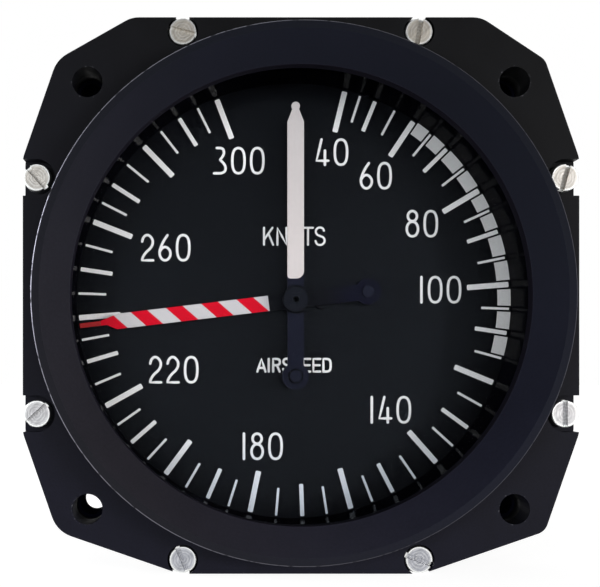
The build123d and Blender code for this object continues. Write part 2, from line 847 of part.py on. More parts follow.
airspeed_hand_back = airspeed_hand_depth + airspeed_hand_thick
airspeed_bore_radius = airspeed_hub_neck_radius + fit_gap
with BuildPart() as airspeed_hub:
    with BuildSketch(Plane.XY):
        with BuildLine():
            Polyline(
                (airspeed_staff_radius + fit_gap, airspeed_hand_depth - airspeed_hub_rise),
                (airspeed_hub_radius, airspeed_hand_depth - airspeed_hub_rise),
                (airspeed_hub_radius, airspeed_hand_depth),
                (airspeed_hub_neck_radius, airspeed_hand_depth),
                (airspeed_hub_neck_radius, airspeed_hand_back + airspeed_hub_back),
                (airspeed_staff_radius + fit_gap, airspeed_hand_back + airspeed_hub_back),
                close=True,
            )
        make_face()
    revolve(axis=Axis.Y)
airspeed_hub.part.label = "airspeed_hub"

with BuildPart() as airspeed_hand:
    with BuildSketch(facing(airspeed_hand_back)):
        with BuildLine():
            Polyline(
                (-airspeed_hand_half_width, 0),
                (airspeed_hand_half_width, 0),
                (airspeed_hand_half_width, airspeed_hand_shoulder),
                (airspeed_hand_tip_radius / 2, airspeed_hand_tip),
                (-airspeed_hand_tip_radius / 2, airspeed_hand_tip),
                (-airspeed_hand_half_width, airspeed_hand_shoulder),
                close=True,
            )
        make_face()
        with Locations((0, airspeed_hand_tip)):
            Circle(airspeed_hand_tip_radius)
        with Locations((0, -airspeed_tail_length / 2)):
            Rectangle(2 * airspeed_tail_half_width, airspeed_tail_length)
        Circle(airspeed_hub_radius)
        with Locations((0, -airspeed_tail_length)):
            Circle(airspeed_tail_radius)
            Circle(rivet_stem_radius + fit_gap, mode=Mode.SUBTRACT)
        Circle(airspeed_bore_radius, mode=Mode.SUBTRACT)
    extrude(amount=airspeed_hand_thick)
airspeed_hand.part.label = "airspeed_hand"

with BuildPart() as airspeed_counterweight:
    with BuildSketch(facing(airspeed_hand_depth)):
        with Locations((0, -airspeed_tail_length)):
            Circle(rivet_radius)
    extrude(amount=rivet_height)
    with BuildSketch(facing(airspeed_hand_back)):
        with Locations((0, -airspeed_tail_length)):
            Circle(rivet_stem_radius)
    extrude(amount=airspeed_hand_thick)
    with BuildSketch(facing(airspeed_hand_back + counterweight_thick)):
        with Locations((0, -airspeed_tail_length)):
            Circle(airspeed_tail_radius)
    extrude(amount=counterweight_thick)
airspeed_counterweight.part.label = "airspeed_counterweight"

# Limit hand: hollow staff with pinion, hub, striped blade and counterweight,
# drawn upright and turned to its rest place
to_limit_rest = (Axis.Y, limit_hand_rest_angle)
with BuildPart() as limit_staff:
    with BuildSketch(facing(limit_staff_back)):
        Circle(limit_staff_radius)
    extrude(amount=limit_staff_back - limit_staff_front)
    with BuildSketch(facing(limit_gear_depth + sector_thick + pinion_overhang)):
        with BuildLine():
            Polyline(
                *gear_points(
                    limit_pinion_teeth,
                    limit_module,
                    90 + 180 / limit_pinion_teeth,
                    0,
                    limit_pinion_teeth - 1,
                ),
                close=True,
            )
        make_face()
    extrude(amount=sector_thick + 2 * pinion_overhang)
    with BuildSketch(facing(limit_staff_back)):
        Circle(airspeed_staff_radius + running_gap)
    extrude(amount=limit_staff_back - limit_staff_front, mode=Mode.SUBTRACT)
limit_staff.part.label = "limit_staff"

limit_hand_back = limit_hand_depth + limit_hand_thick
with BuildPart() as limit_hub:
    with BuildSketch(Plane.XY):
        with BuildLine():
            Polyline(
                (limit_staff_radius + fit_gap, limit_staff_front),
                (limit_hub_radius, limit_staff_front),
                (limit_hub_radius, limit_hand_depth),
                (limit_hub_neck_radius, limit_hand_depth),
                (limit_hub_neck_radius, limit_hand_back + limit_hub_back),
                (limit_staff_radius + fit_gap, limit_hand_back + limit_hub_back),
                close=True,
            )
        make_face()
    revolve(axis=Axis.Y)
limit_hub.part.label = "limit_hub"

with BuildPart() as limit_hand_upright:
    with BuildSketch(facing(limit_hand_back)):
        with BuildLine():
            Polyline(
                (-limit_hand_half_width, 0),
                (limit_hand_half_width, 0),
                (limit_hand_half_width, limit_hand_shoulder),
                (limit_hand_tip_half_width, limit_hand_neck),
                (limit_hand_tip_half_width, limit_hand_tip),
                (-limit_hand_tip_half_width, limit_hand_tip),
                (-limit_hand_tip_half_width, limit_hand_neck_low),
                (-limit_hand_half_width, limit_hand_shoulder_low),
                close=True,
            )
        make_face()
        with Locations((0, -limit_tail_length / 2)):
            Rectangle(2 * limit_tail_half_width, limit_tail_length)
        Circle(limit_tail_radius)
        with Locations((0, -limit_tail_length)):
            Circle(limit_tail_radius)
            Circle(rivet_stem_radius + fit_gap, mode=Mode.SUBTRACT)
        Circle(limit_hub_neck_radius + fit_gap, mode=Mode.SUBTRACT)
    extrude(amount=limit_hand_thick)
limit_hand = limit_hand_upright.part.rotate(*to_limit_rest)
limit_hand.label = "limit_hand"

with BuildPart() as limit_counterweight_upright:
    with BuildSketch(facing(limit_hand_depth)):
        with Locations((0, -limit_tail_length)):
            Circle(limit_rivet_radius)
    extrude(amount=limit_rivet_height)
    with BuildSketch(facing(limit_hand_back)):
        with Locations((0, -limit_tail_length)):
            Circle(rivet_stem_radius)
    extrude(amount=limit_hand_thick)
    with BuildSketch(facing(limit_hand_back + counterweight_thick)):
        with Locations((0, -limit_tail_length)):
            Circle(limit_tail_radius)
    extrude(amount=counterweight_thick)
limit_counterweight = limit_counterweight_upright.part.rotate(*to_limit_rest)
limit_counterweight.label = "limit_counterweight"


def make_sector(name, z, depth, teeth, module, toward, before, after):
    """Toothed sector with a window and a balancing tail, on its pivot at (0, z).

    Its teeth cover the angles before and after the pinion that come past it.
    """
    pitch = 360 / teeth
    first = -math.ceil(before / pitch) - spare_teeth
    last = math.ceil(after / pitch) + spare_teeth
    rim_radius = teeth * module / 2 - sector_rim
    low, high = toward + (first + 1) * pitch, toward + (last - 1) * pitch
    window = [
        (radius * math.cos(math.radians(angle)), radius * math.sin(math.radians(angle)))
        for radius, angle in (
            (sector_hub_radius + sector_web, (low + high) / 2),
            (rim_radius, low + pitch),
            (rim_radius, high - pitch),
        )
    ]
    away = (low + high) / 2 + 180
    with BuildPart() as sector:
        with BuildSketch(facing(depth + sector_thick)):
            with Locations((0, z)):
                with Locations((0, 0)):
                    Circle(sector_hub_radius)
                with PolarLocations(sector_tail_length / 2, 1, start_angle=away):
                    Rectangle(sector_tail_length, 2 * sector_tail_half_width)
            with BuildLine(Location((0, z))):
                Polyline((0, 0), *gear_points(teeth, module, toward, first, last), close=True)
            make_face()
            with BuildLine(Location((0, z))):
                Polyline(*window, close=True)
            make_face(mode=Mode.SUBTRACT)
            with Locations((0, z)):
                Circle(sector_shaft_radius + fit_gap, mode=Mode.SUBTRACT)
        extrude(amount=sector_thick)
    sector.part.label = name
    return sector.part


def make_sector_shaft(name, z):
    """Shaft of a sector: a thin pivot in the front plate, and its lever's seat behind."""
    with BuildPart() as shaft:
        with BuildSketch(facing(sector_shaft_back)):
            with Locations((0, z)):
                Circle(sector_shaft_radius)
        extrude(amount=sector_shaft_back - front_plate_back - seat_gap)
        with BuildSketch(facing(front_plate_back + seat_gap)):
            with Locations((0, z)):
                Circle(sector_pivot_radius)
        extrude(amount=front_plate_thick)
    shaft.part.label = name
    return shaft.part


def make_lever(name, z, length, rest):
    """Lever on the back end of a sector shaft, turned from level to its rest."""
    with BuildPart() as lever:
        with BuildSketch(facing(lever_back)):
            with Locations((0, z)):
                Circle(lever_hub_radius)
            with Locations(((length + lever_overhang) / 2, z)):
                Rectangle(length + lever_overhang, 2 * lever_half_width)
            with Locations((0, z)):
                Circle(sector_shaft_radius + fit_gap, mode=Mode.SUBTRACT)
        extrude(amount=lever_thick)
    turned = lever.part.rotate(Axis((0, 0, z), (0, 1, 0)), rest)
    turned.label = name
    return turned


def make_rocker(name, z, lever_length, arm_length, arm_side, rest):
    """Rocking shaft along X with a finger at the lever and an arm with a pin for the link."""
    with BuildPart() as rocker:
        with BuildSketch(side_view(-rocker_half_length)):
            with Locations((rocker_depth, z)):
                Circle(rocker_radius)
        extrude(amount=2 * rocker_half_length)
        with BuildSketch(side_view(-rocker_half_length - rocker_pivot_length)):
            with Locations((rocker_depth, z)):
                Circle(rocker_pivot_radius)
        extrude(amount=2 * (rocker_half_length + rocker_pivot_length))
        with BuildSketch(facing(rocker_depth)):
            with Locations((lever_length, z)):
                Circle(finger_radius)
        extrude(amount=finger_length)
        with BuildSketch(side_view(-arm_half_thick)):
            with Locations((rocker_depth, z + arm_side * arm_length / 2)):
                Rectangle(2 * arm_half_width, arm_length)
            with Locations((rocker_depth, z + arm_side * arm_length)):
                Circle(arm_half_width)
        extrude(amount=2 * arm_half_thick)
        with BuildSketch(side_view(-arm_half_thick)):
            with Locations((rocker_depth, z + arm_side * arm_length)):
                Circle(arm_pin_radius)
        extrude(amount=arm_half_thick + arm_pin_reach)
    turned = rocker.part.rotate(Axis((0, rocker_depth, z), (1, 0, 0)), rest)
    turned.label = name
    return turned


airspeed_sector = make_sector(
    "airspeed_sector",
    airspeed_sector_z,
    airspeed_gear_depth,
    airspeed_sector_teeth,
    airspeed_module,
    90,
    airspeed_sector_travel,
    0,
)
limit_sector = make_sector(
    "limit_sector",
    limit_sector_z,
    limit_gear_depth,
    limit_sector_teeth,
    limit_module,
    -90,
    -limit_sector_low,
    limit_sector_high,
)
airspeed_sector_shaft = make_sector_shaft("airspeed_sector_shaft", airspeed_sector_z)
limit_sector_shaft = make_sector_shaft("limit_sector_shaft", limit_sector_z)
airspeed_lever = make_lever(
    "airspeed_lever", airspeed_sector_z, airspeed_lever_length, airspeed_lever_rest
)
limit_lever = make_lever("limit_lever", limit_sector_z, limit_lever_length, limit_lever_rest)
airspeed_rocker = make_rocker(
    "airspeed_rocker",
    airspeed_rocker_z,
    airspeed_lever_length,
    airspeed_arm_length,
    -1,
    airspeed_rocker_rest,
)
limit_rocker = make_rocker(
    "limit_rocker",
    limit_rocker_z,
    limit_lever_length,
    limit_arm_length,
    1,
    limit_rocker_rest,
)

# Ears behind the rear plate that carry the two rocking shafts
ear_x = rocker_half_length + seat_gap
ear_length = rocker_depth + bracket_overhang - rear_plate_back
with BuildPart() as rocker_brackets:
    for ear_front_x in (-ear_x - bracket_thick, ear_x):
        with BuildSketch(side_view(ear_front_x)):
            for rocker_z in (airspeed_rocker_z, limit_rocker_z):
                with Locations((rear_plate_back + ear_length / 2, rocker_z)):
                    Rectangle(ear_length, 2 * bracket_half_width)
                with Locations((rocker_depth, rocker_z)):
                    Circle(rocker_pivot_radius + running_gap, mode=Mode.SUBTRACT)
        extrude(amount=bracket_thick)
rocker_brackets.part.label = "rocker_brackets"

# Yoke on the pitot capsule's boss, with a slotted link that drives the arm pin
link_centre_z = airspeed_pin_z
yoke_back = yoke_depth + yoke_thick
with BuildPart() as capsule_yoke:
    with BuildSketch(facing(yoke_back)):
        with Locations((0, link_centre_z / 2)):
            Rectangle(2 * yoke_half_width, 2 * link_half_height - link_centre_z)
        Circle(capsule_boss_radius)
    extrude(amount=yoke_thick)
    with BuildSketch(facing(capsule_front)):
        Circle(capsule_boss_radius)
    extrude(amount=capsule_front - yoke_back)
    with BuildSketch(side_view(link_x - link_half_thick)):
        with Locations(((airspeed_pin_depth - link_nose + yoke_back) / 2, link_centre_z)):
            Rectangle(yoke_back - airspeed_pin_depth + link_nose, 2 * link_half_height)
    extrude(amount=2 * link_half_thick)
    with BuildSketch(side_view(link_x - link_half_thick)):
        with Locations((airspeed_pin_depth, link_centre_z)):
            Rectangle(2 * link_slot_half_width, 2 * link_slot_half_height)
    extrude(amount=2 * link_half_thick, mode=Mode.SUBTRACT)
capsule_yoke.part.label = "capsule_yoke"

with BuildPart() as pitot_capsule:
    with BuildSketch(Plane.XY):
        with BuildLine():
            Polyline(
                *capsule_profile(capsule_radius, capsule_front, capsule_back, capsule_neck_radius),
                close=True,
            )
        make_face()
    revolve(axis=Axis.Y)
pitot_capsule.part.label = "pitot_capsule"

with BuildPart() as capsule_stem:
    with BuildSketch(facing(cover_front)):
        Circle(stem_radius)
        Circle(capsule_neck_radius, mode=Mode.SUBTRACT)
    extrude(amount=cover_front - capsule_back)
capsule_stem.part.label = "capsule_stem"

# Tube from the pitot port to the capsule's stem
tube_depth = cover_front - pitot_tube_run
stem_reach = (stem_radius + seat_gap) / math.hypot(port_x, port_z)
with BuildPart() as pitot_tube:
    with BuildLine() as tube_route:
        FilletPolyline(
            (-port_x, cover_front, port_z),
            (-port_x, tube_depth, port_z),
            (-port_x * stem_reach, tube_depth, port_z * stem_reach),
            radius=pitot_tube_bend,
        )
    with BuildSketch(Plane(origin=tube_route.line @ 0, z_dir=tube_route.line % 0)):
        Circle(pitot_tube_radius)
    sweep()
pitot_tube.part.label = "pitot_tube"

# Aneroid capsule for the limit hand, its link and the post that carries it
with BuildPart() as aneroid_link:
    with BuildSketch(side_view(link_x - link_half_thick)):
        with Locations((limit_pin_depth, limit_pin_z)):
            Rectangle(2 * link_nose, 2 * link_half_height)
            Rectangle(2 * link_slot_half_width, 2 * link_slot_half_height, mode=Mode.SUBTRACT)
    extrude(amount=2 * link_half_thick)
    with BuildSketch(facing(aneroid_front)):
        with Locations((link_x, limit_pin_z)):
            Circle(aneroid_rod_radius)
    extrude(amount=aneroid_front - limit_pin_depth - link_nose)
    with BuildSketch(facing(aneroid_front)):
        with Locations((link_x, limit_pin_z)):
            Circle(capsule_boss_radius)
    extrude(amount=yoke_thick)
aneroid_link.part.label = "aneroid_link"

with BuildPart() as aneroid_centred:
    with BuildSketch(Plane.XY):
        with BuildLine():
            Polyline(
                *capsule_profile(aneroid_radius, aneroid_front, aneroid_back, capsule_wall),
                close=True,
            )
        make_face()
    revolve(axis=Axis.Y)
aneroid_capsule = aneroid_centred.part.translate((link_x, 0, limit_pin_z))
aneroid_capsule.label = "aneroid_capsule"

with BuildPart() as aneroid_post:
    with BuildSketch(facing(cover_front)):
        with Locations((link_x, limit_pin_z)):
            Circle(aneroid_post_radius)
    extrude(amount=cover_front - aneroid_back)
aneroid_post.part.label = "aneroid_post"

# Hairspring: half circles about two centres, from the collet out to the stud
with BuildPart() as hairspring_collet:
    with BuildSketch(facing(hairspring_depth + hairspring_height / 2 + collet_height / 2)):
        Circle(collet_radius)
        Circle(airspeed_staff_radius + fit_gap, mode=Mode.SUBTRACT)
    extrude(amount=collet_height)
hairspring_collet.part.label = "hairspring_collet"

coil_step = hairspring_coil_gap / 2
spring_start = collet_radius + hairspring_strip / 2 + fit_gap
with BuildPart() as hairspring:
    with BuildSketch(facing(hairspring_depth + hairspring_height)):
        with BuildLine():
            for turn in range(hairspring_half_turns):
                radius = spring_start + turn * coil_step
                centre = 0 if turn % 2 == 0 else -coil_step
                side = 1 if turn % 2 == 0 else -1
                ThreePointArc(
                    (centre + side * radius, 0),
                    (centre, side * radius),
                    (centre - side * radius, 0),
                )
        trace(line_width=hairspring_strip)
    extrude(amount=hairspring_height)
hairspring.part.label = "hairspring"

spring_end_x = spring_start + (hairspring_half_turns - 1) * coil_step
stud_x = spring_end_x + hairspring_strip / 2 + hairspring_stud_radius + fit_gap
with BuildPart() as hairspring_stud:
    with BuildSketch(facing(rear_plate_front)):
        with Locations((stud_x, 0)):
            Circle(hairspring_stud_radius)
    extrude(amount=rear_plate_front - hairspring_depth + seat_gap)
hairspring_stud.part.label = "hairspring_stud"

pieces = [
    bezel_flange.part,
    bezel_ring.part,
    bezel_screws.part,
    cover_glass.part,
    glass_gaskets.part,
    dial_surround.part,
    dial_plate.part,
    dial_screws.part,
    case_shell.part,
    flange_seal.part,
    mount_inserts.part,
    rear_gasket.part,
    rear_cover.part,
    rear_cover_screws.part,
    ports["pitot_port"].part,
    ports["static_port"].part,
    port_seals.part,
    front_plate.part,
    rear_plate.part,
    frame_pillars.part,
    front_plate_screws.part,
    standoffs.part,
    standoff_screws.part,
    staff_bushing.part,
    rear_bushing.part,
    airspeed_staff.part,
    airspeed_hub.part,
    airspeed_hand.part,
    airspeed_counterweight.part,
    limit_staff.part,
    limit_hub.part,
    limit_hand,
    limit_counterweight,
    airspeed_sector,
    airspeed_sector_shaft,
    airspeed_lever,
    airspeed_rocker,
    limit_sector,
    limit_sector_shaft,
    limit_lever,
    limit_rocker,
    rocker_brackets.part,
    capsule_yoke.part,
    pitot_capsule.part,
    capsule_stem.part,
    pitot_tube.part,
    aneroid_link.part,
    aneroid_capsule,
    aneroid_post.part,
    hairspring_collet.part,
    hairspring.part,
    hairspring_stud.part,
]

os.makedirs("parts", exist_ok=True)
for piece in pieces:
    export_step(piece, f"parts/{piece.label}.step")
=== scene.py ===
"""Airspeed indicator: finishes, dial markings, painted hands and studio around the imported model."""

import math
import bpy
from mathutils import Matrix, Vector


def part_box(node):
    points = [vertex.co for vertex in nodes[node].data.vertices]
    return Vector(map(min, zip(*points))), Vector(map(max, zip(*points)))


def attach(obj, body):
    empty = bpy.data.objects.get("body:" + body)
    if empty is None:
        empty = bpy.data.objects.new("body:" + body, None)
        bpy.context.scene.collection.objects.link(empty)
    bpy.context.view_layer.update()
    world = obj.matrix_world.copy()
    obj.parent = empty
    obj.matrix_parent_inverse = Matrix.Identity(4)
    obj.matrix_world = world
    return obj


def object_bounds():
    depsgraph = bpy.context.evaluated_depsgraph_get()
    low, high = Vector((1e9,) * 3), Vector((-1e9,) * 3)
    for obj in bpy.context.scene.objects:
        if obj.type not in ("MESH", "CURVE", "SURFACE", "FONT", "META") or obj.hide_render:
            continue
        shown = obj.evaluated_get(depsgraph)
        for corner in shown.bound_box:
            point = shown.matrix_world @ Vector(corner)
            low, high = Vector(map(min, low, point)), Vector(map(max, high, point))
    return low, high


bl_info = {
    "name": "Airspeed indicator",
    "version": (1, 0, 0),
    "blender": (4, 5, 0),
    "location": "View3D > Sidebar > Airspeed",
    "description": "Dresses the airspeed indicator's packed model and sets its studio",
    "category": "Object",
}

import bmesh
import bpy
from bpy.props import FloatProperty, FloatVectorProperty, PointerProperty
from bpy.types import Operator, Panel, PropertyGroup
from mathutils import Matrix, Vector
from mathutils.geometry import interpolate_bezier

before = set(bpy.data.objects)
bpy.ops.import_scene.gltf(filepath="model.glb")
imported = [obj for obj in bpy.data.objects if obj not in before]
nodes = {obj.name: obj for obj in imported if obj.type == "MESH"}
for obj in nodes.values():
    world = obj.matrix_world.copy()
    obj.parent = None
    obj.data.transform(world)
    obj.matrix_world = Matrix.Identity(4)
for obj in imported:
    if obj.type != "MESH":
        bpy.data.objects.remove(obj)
cad_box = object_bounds()

MM = 0.001
DIAL_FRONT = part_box("dial_plate")[0][1]
FLOOR = cad_box[0][2]
HALF = 36 * MM  # half of the front, for finishes that drift across it
MOUNT_HOLE = 31.43 * MM  # from the centre to a mounting hole, across and up
DIAL_SCREW = 4.4 * MM  # from the centre to a dial screw, across
SCREW_FAR, SCREW_NEAR = 38.9 * MM, 17.4 * MM  # from a bezel screw to the two lines through the centre
AIRSPEED_TAIL, LIMIT_TAIL = 11.9 * MM, 11.6 * MM  # from the axis to the rivet in each tail
BLADE_TO_HUB = 0.308  # half of the white blade's width over the width of its hub
NUMERAL_HALF = 2.0  # half of a numeral's height, in mm
MARK_CORNER = 0.2  # a mark's corner radius over its width
BLOCK_GREY = 0.8  # brightness of the arc of blocks over that of the marks
LIMIT_REST = 263.2  # clockwise angle of the limit hand in the photograph, in degrees from straight up
BLUISH = (0.68, 0.79, 1.0, 1.0)  # tint of what the satin blacks mirror
SATIN = (0.34, 0.06)  # their roughness and its spread

# ------------------------------ what a user would change


def length(name, description, default):
    return FloatProperty(
        name=name, description=description, default=default, min=0.0, unit="LENGTH", subtype="DISTANCE", precision=5
    )


def shade(name, description, default):
    return FloatVectorProperty(
        name=name, description=description, default=default, size=3, min=0.0, max=1.0, subtype="COLOR"
    )


def share(name, description, default):
    return FloatProperty(name=name, description=description, default=default, min=0.0, max=1.0, subtype="FACTOR")


class ScaleSizes(PropertyGroup):
    """Sizes of the marks printed on the dial."""

    tick_outer: length("Tick outer radius", "Radius where every scale mark ends", 34.1 * MM)
    major_inner: length("Major inner radius", "Radius where the marks at every 20 knots begin", 27.5 * MM)
    medium_inner: length("Medium inner radius", "Radius where the other marks at every 10 knots begin", 29.0 * MM)
    thin_inner: length("Thin inner radius", "Radius where the marks between them begin", 29.7 * MM)
    major_width: length("Major width", "Width of the marks at every 20 knots", 0.86 * MM)
    medium_width: length("Medium width", "Width of the other marks at every 10 knots", 0.65 * MM)
    thin_width: length("Thin width", "Width of the marks between them", 0.38 * MM)
    band_inner: length("Band inner radius", "Inner radius of the arc of blocks", 32.25 * MM)
    band_outer: length("Band outer radius", "Outer radius of the arc of blocks", 34.35 * MM)
    band_gap: length("Band gap", "Gap between a block and the mark beside it", 0.3 * MM)
    print_height: length("Print height", "How far the paint stands above the dial", 0.03 * MM)
    numeral_stroke: length("Numeral stroke", "Width of the strokes of the numerals", 0.43 * MM)
    knots_stroke: length("Knots stroke", "Width of the strokes of the word KNOTS", 0.35 * MM)
    airspeed_stroke: length("Airspeed stroke", "Width of the strokes of the word AIRSPEED", 0.38 * MM)


class HandSizes(PropertyGroup):
    """Where the paint on the two hands begins and how its stripes repeat."""

    white_start: length("White start", "Distance from the centre where the white blade begins", 3.25 * MM)
    stripe_start: length("Stripe start", "Distance from the centre where the striped paint begins", 4.09 * MM)
    first_red: length("First red", "Distance from the centre where the first red stripe begins", 5.32 * MM)
    last_red: length("Last red", "Distance from the centre beyond which all is red", 28.3 * MM)
    tip_start: length("Tip start", "Distance from the centre where the duller tip begins", 30.6 * MM)
    white_corner: length("White corner", "Radius of the white paint's lower left corner", 0.45 * MM)
    white_corner_right: length("White corner right", "Radius of the white paint's lower right corner", 1.2 * MM)
    stripe_pitch: length("Stripe pitch", "Distance from one red stripe to the next", 5.57 * MM)
    stripe_share: share("Red share", "Part of the pitch that is red", 0.475)
    stripe_slant: share("Stripe slant", "How far a stripe runs along the hand for each unit across it", 0.911)


class Colours(PropertyGroup):
    """Base colours of the finishes."""

    # Flange and flange low paint a bluish reflection that grows towards the bottom
    flange: shade("Flange", "Black of the flange at the top", (0.0032, 0.0034, 0.0042))
    flange_low: shade("Flange low", "Bluer black of the flange at the bottom", (0.0064, 0.0066, 0.013))
    # The three ring colours are painted light and shade: darkest at the top, paler at the bottom, bluer at the lower
    # right
    ring: shade("Ring", "Blue-black of the bezel ring at the top", (0.0054, 0.0058, 0.0108))
    ring_low: shade("Ring low", "Paler blue-black of the bezel ring at the bottom", (0.0176, 0.0164, 0.0212))
    ring_right: shade("Ring right", "Bluer black of the bezel ring at the lower right", (0.0148, 0.0152, 0.0275))
    case: shade("Case", "Black of the case and its rear cover", (0.012, 0.012, 0.013))
    dial: shade("Dial", "Satin black of the dial", (0.0009, 0.0009, 0.0012))
    surround: shade("Surround", "Glossy black of the wall around the dial", (0.0012, 0.0012, 0.0024))
    hub: shade("Hub", "Black of the hub and the end of its staff", (0.0013, 0.0013, 0.003))
    black_brass: shade("Blackened brass", "Blackened tails and counterweights", (0.0048, 0.005, 0.0125))
    bare_tail: shade("Bare tail", "Black of the limit hand near its hub", (0.0042, 0.0044, 0.0062))
    print_white: shade("Print white", "Paint of the scale, numerals and words", (0.88, 0.885, 0.9))
    hand_white: shade("Hand white", "Paint of the airspeed hand", (0.65, 0.605, 0.605))
    hand_tip: shade("Hand tip", "Greyer paint towards the tip of the airspeed hand", (0.51, 0.485, 0.49))
    stripe_white: shade("Stripe white", "White of the limit hand", (0.57, 0.565, 0.59))
    stripe_red: shade("Stripe red", "Red of the limit hand", (0.62, 0.003, 0.018))
    tip_red: shade("Tip red", "Duller red of the limit hand's thin tip", (0.37, 0.024, 0.026))
    steel: shade("Screw steel", "Turned steel of the bezel screws", (0.36, 0.345, 0.33))
    plain_steel: shade("Plain steel", "Steel of the staffs and levers", (0.5, 0.5, 0.5))
    brass: shade("Brass", "Brass of the movement", (0.72, 0.5, 0.2))
    bronze: shade("Bronze", "Spring bronze of the capsules and hairspring", (0.62, 0.36, 0.18))
    aluminium: shade("Aluminium", "Aluminium of the frame plates and ports", (0.62, 0.63, 0.65))
    rubber: shade("Rubber", "Rubber of the seals and gaskets", (0.012, 0.012, 0.012))


# ------------------------------ shader helpers


def fill(tree, socket, value):
    """Links a socket to another or sets its value; a plain colour gets its fourth number."""
    if isinstance(value, bpy.types.NodeSocket):
        tree.links.new(value, socket)
    else:
        socket.default_value = (*value[:3], 1.0) if socket.type == "RGBA" else value


def node(tree, kind, inputs=None, **settings):
    """Adds a node, sets its options and fills or links its inputs."""
    made = tree.nodes.new(kind)
    for key, value in settings.items():
        setattr(made, key, value)
    for key, value in (inputs or {}).items():
        fill(tree, made.inputs[key], value)
    return made


def maths(tree, operation, *values, clamp=False):
    return node(tree, "ShaderNodeMath", dict(enumerate(values)), operation=operation, use_clamp=clamp).outputs[0]


def times(tree, *values):
    return maths(tree, "MULTIPLY", *values)


def plus(tree, *values, clamp=False):
    return maths(tree, "ADD", *values, clamp=clamp)


def minus(tree, *values):
    return maths(tree, "SUBTRACT", *values)


def highest(tree, *values):
    return maths(tree, "MAXIMUM", *values)


def remap(tree, value, low, high, to_low=0.0, to_high=1.0, smooth=False):
    inputs = {"Value": value, "From Min": low, "From Max": high, "To Min": to_low, "To Max": to_high}
    kind = "SMOOTHSTEP" if smooth else "LINEAR"
    return node(tree, "ShaderNodeMapRange", inputs, interpolation_type=kind).outputs["Result"]


def beyond(tree, distance, edge, blur, high=1.0):
    """Rises from 0 to high where a distance passes an edge; edge and blur are in mm."""
    return remap(tree, distance, (edge - blur) * MM, (edge + blur) * MM, 0.0, high)


def within(tree, distance, edge, blur, high=1.0):
    """Falls from high to 0 where a distance passes an edge; edge and blur are in mm."""
    return remap(tree, distance, (edge - blur) * MM, (edge + blur) * MM, high, 0.0)


def mix(tree, factor, first, second):
    """A colour mix; first and second are colours or sockets."""
    inputs = {0: factor, 6: first, 7: second}
    return node(tree, "ShaderNodeMix", inputs, data_type="RGBA", blend_type="MIX").outputs[2]


def split(tree, vector):
    return node(tree, "ShaderNodeSeparateXYZ", {0: vector}).outputs


def noise(tree, vector, scale, detail, **more):
    inputs = {"Vector": vector, "Scale": scale, "Detail": detail, **more}
    return node(tree, "ShaderNodeTexNoise", inputs).outputs["Fac"]


def hypotenuse(tree, x, z):
    return maths(tree, "SQRT", plus(tree, times(tree, x, x), times(tree, z, z)))


KINDS = {float: "NodeSocketFloat", tuple: "NodeSocketColor", type(None): "NodeSocketVector"}


def new_group(name, inputs, outputs):
    """An empty shader node group; an input's default is a number, a colour, or None for a vector."""
    group = bpy.data.node_groups.new(name, "ShaderNodeTree")
    for label, default in inputs.items():
        socket = group.interface.new_socket(label, in_out="INPUT", socket_type=KINDS[type(default)])
        if default is not None:
            socket.default_value = default
    for label in outputs:
        kind = KINDS[tuple if label == "Colour" else float]
        group.interface.new_socket(label, in_out="OUTPUT", socket_type=kind)
    source = group.nodes.new("NodeGroupInput").outputs
    sink = group.nodes.new("NodeGroupOutput").inputs
    return group, source, sink


def vary_colour(group, source, sink, pattern, low, high):
    """Sends out the group's colour, darker and brighter by its variation as a pattern goes from low to high."""
    dark = minus(group, 1.0, source["Variation"])
    bright = plus(group, 1.0, source["Variation"])
    factor = remap(group, pattern, low, high, dark, bright)
    colour = node(group, "ShaderNodeVectorMath", {0: source["Colour"], 3: factor}, operation="SCALE")
    fill(group, sink["Colour"], colour.outputs["Vector"])


def grain_group():
    """Fine irregular grain of anodised, painted or moulded surfaces, with faint handling marks."""
    inputs = {"Vector": None, "Colour": (0.1, 0.1, 0.1, 1), "Scale": 2500.0, "Variation": 0.2}
    inputs |= {"Roughness": 0.5, "Roughness Spread": 0.1}
    group, source, sink = new_group("surface_grain", inputs, ("Colour", "Roughness", "Height"))
    grain = noise(group, source["Vector"], source["Scale"], 4.0)
    cloud = noise(group, source["Vector"], times(group, source["Scale"], 0.06), 5.0, Roughness=0.6)
    both = plus(group, times(group, grain, 0.6), times(group, cloud, 0.4))
    vary_colour(group, source, sink, both, 0.35, 0.65)
    spread = times(group, minus(group, cloud, 0.5), source["Roughness Spread"])
    rough = plus(group, source["Roughness"], times(group, spread, 2.0), clamp=True)
    fill(group, sink["Roughness"], rough)
    fill(group, sink["Height"], grain)
    return group


def brushed_group():
    """Fine parallel tool lines of cut or brushed metal, along the vector's X axis."""
    inputs = {"Vector": None, "Colour": (0.6, 0.6, 0.6, 1), "Scale": 3000.0, "Variation": 0.15, "Roughness": 0.3}
    group, source, sink = new_group("tool_lines", inputs, ("Colour", "Roughness", "Height"))
    stretched = node(group, "ShaderNodeMapping", {"Vector": source["Vector"], "Scale": (0.04, 1.0, 1.0)}).outputs[0]
    lines = noise(group, stretched, source["Scale"], 3.0)
    vary_colour(group, source, sink, lines, 0.3, 0.7)
    rough = plus(group, source["Roughness"], times(group, lines, 0.12), clamp=True)
    fill(group, sink["Roughness"], rough)
    fill(group, sink["Height"], lines)
    return group


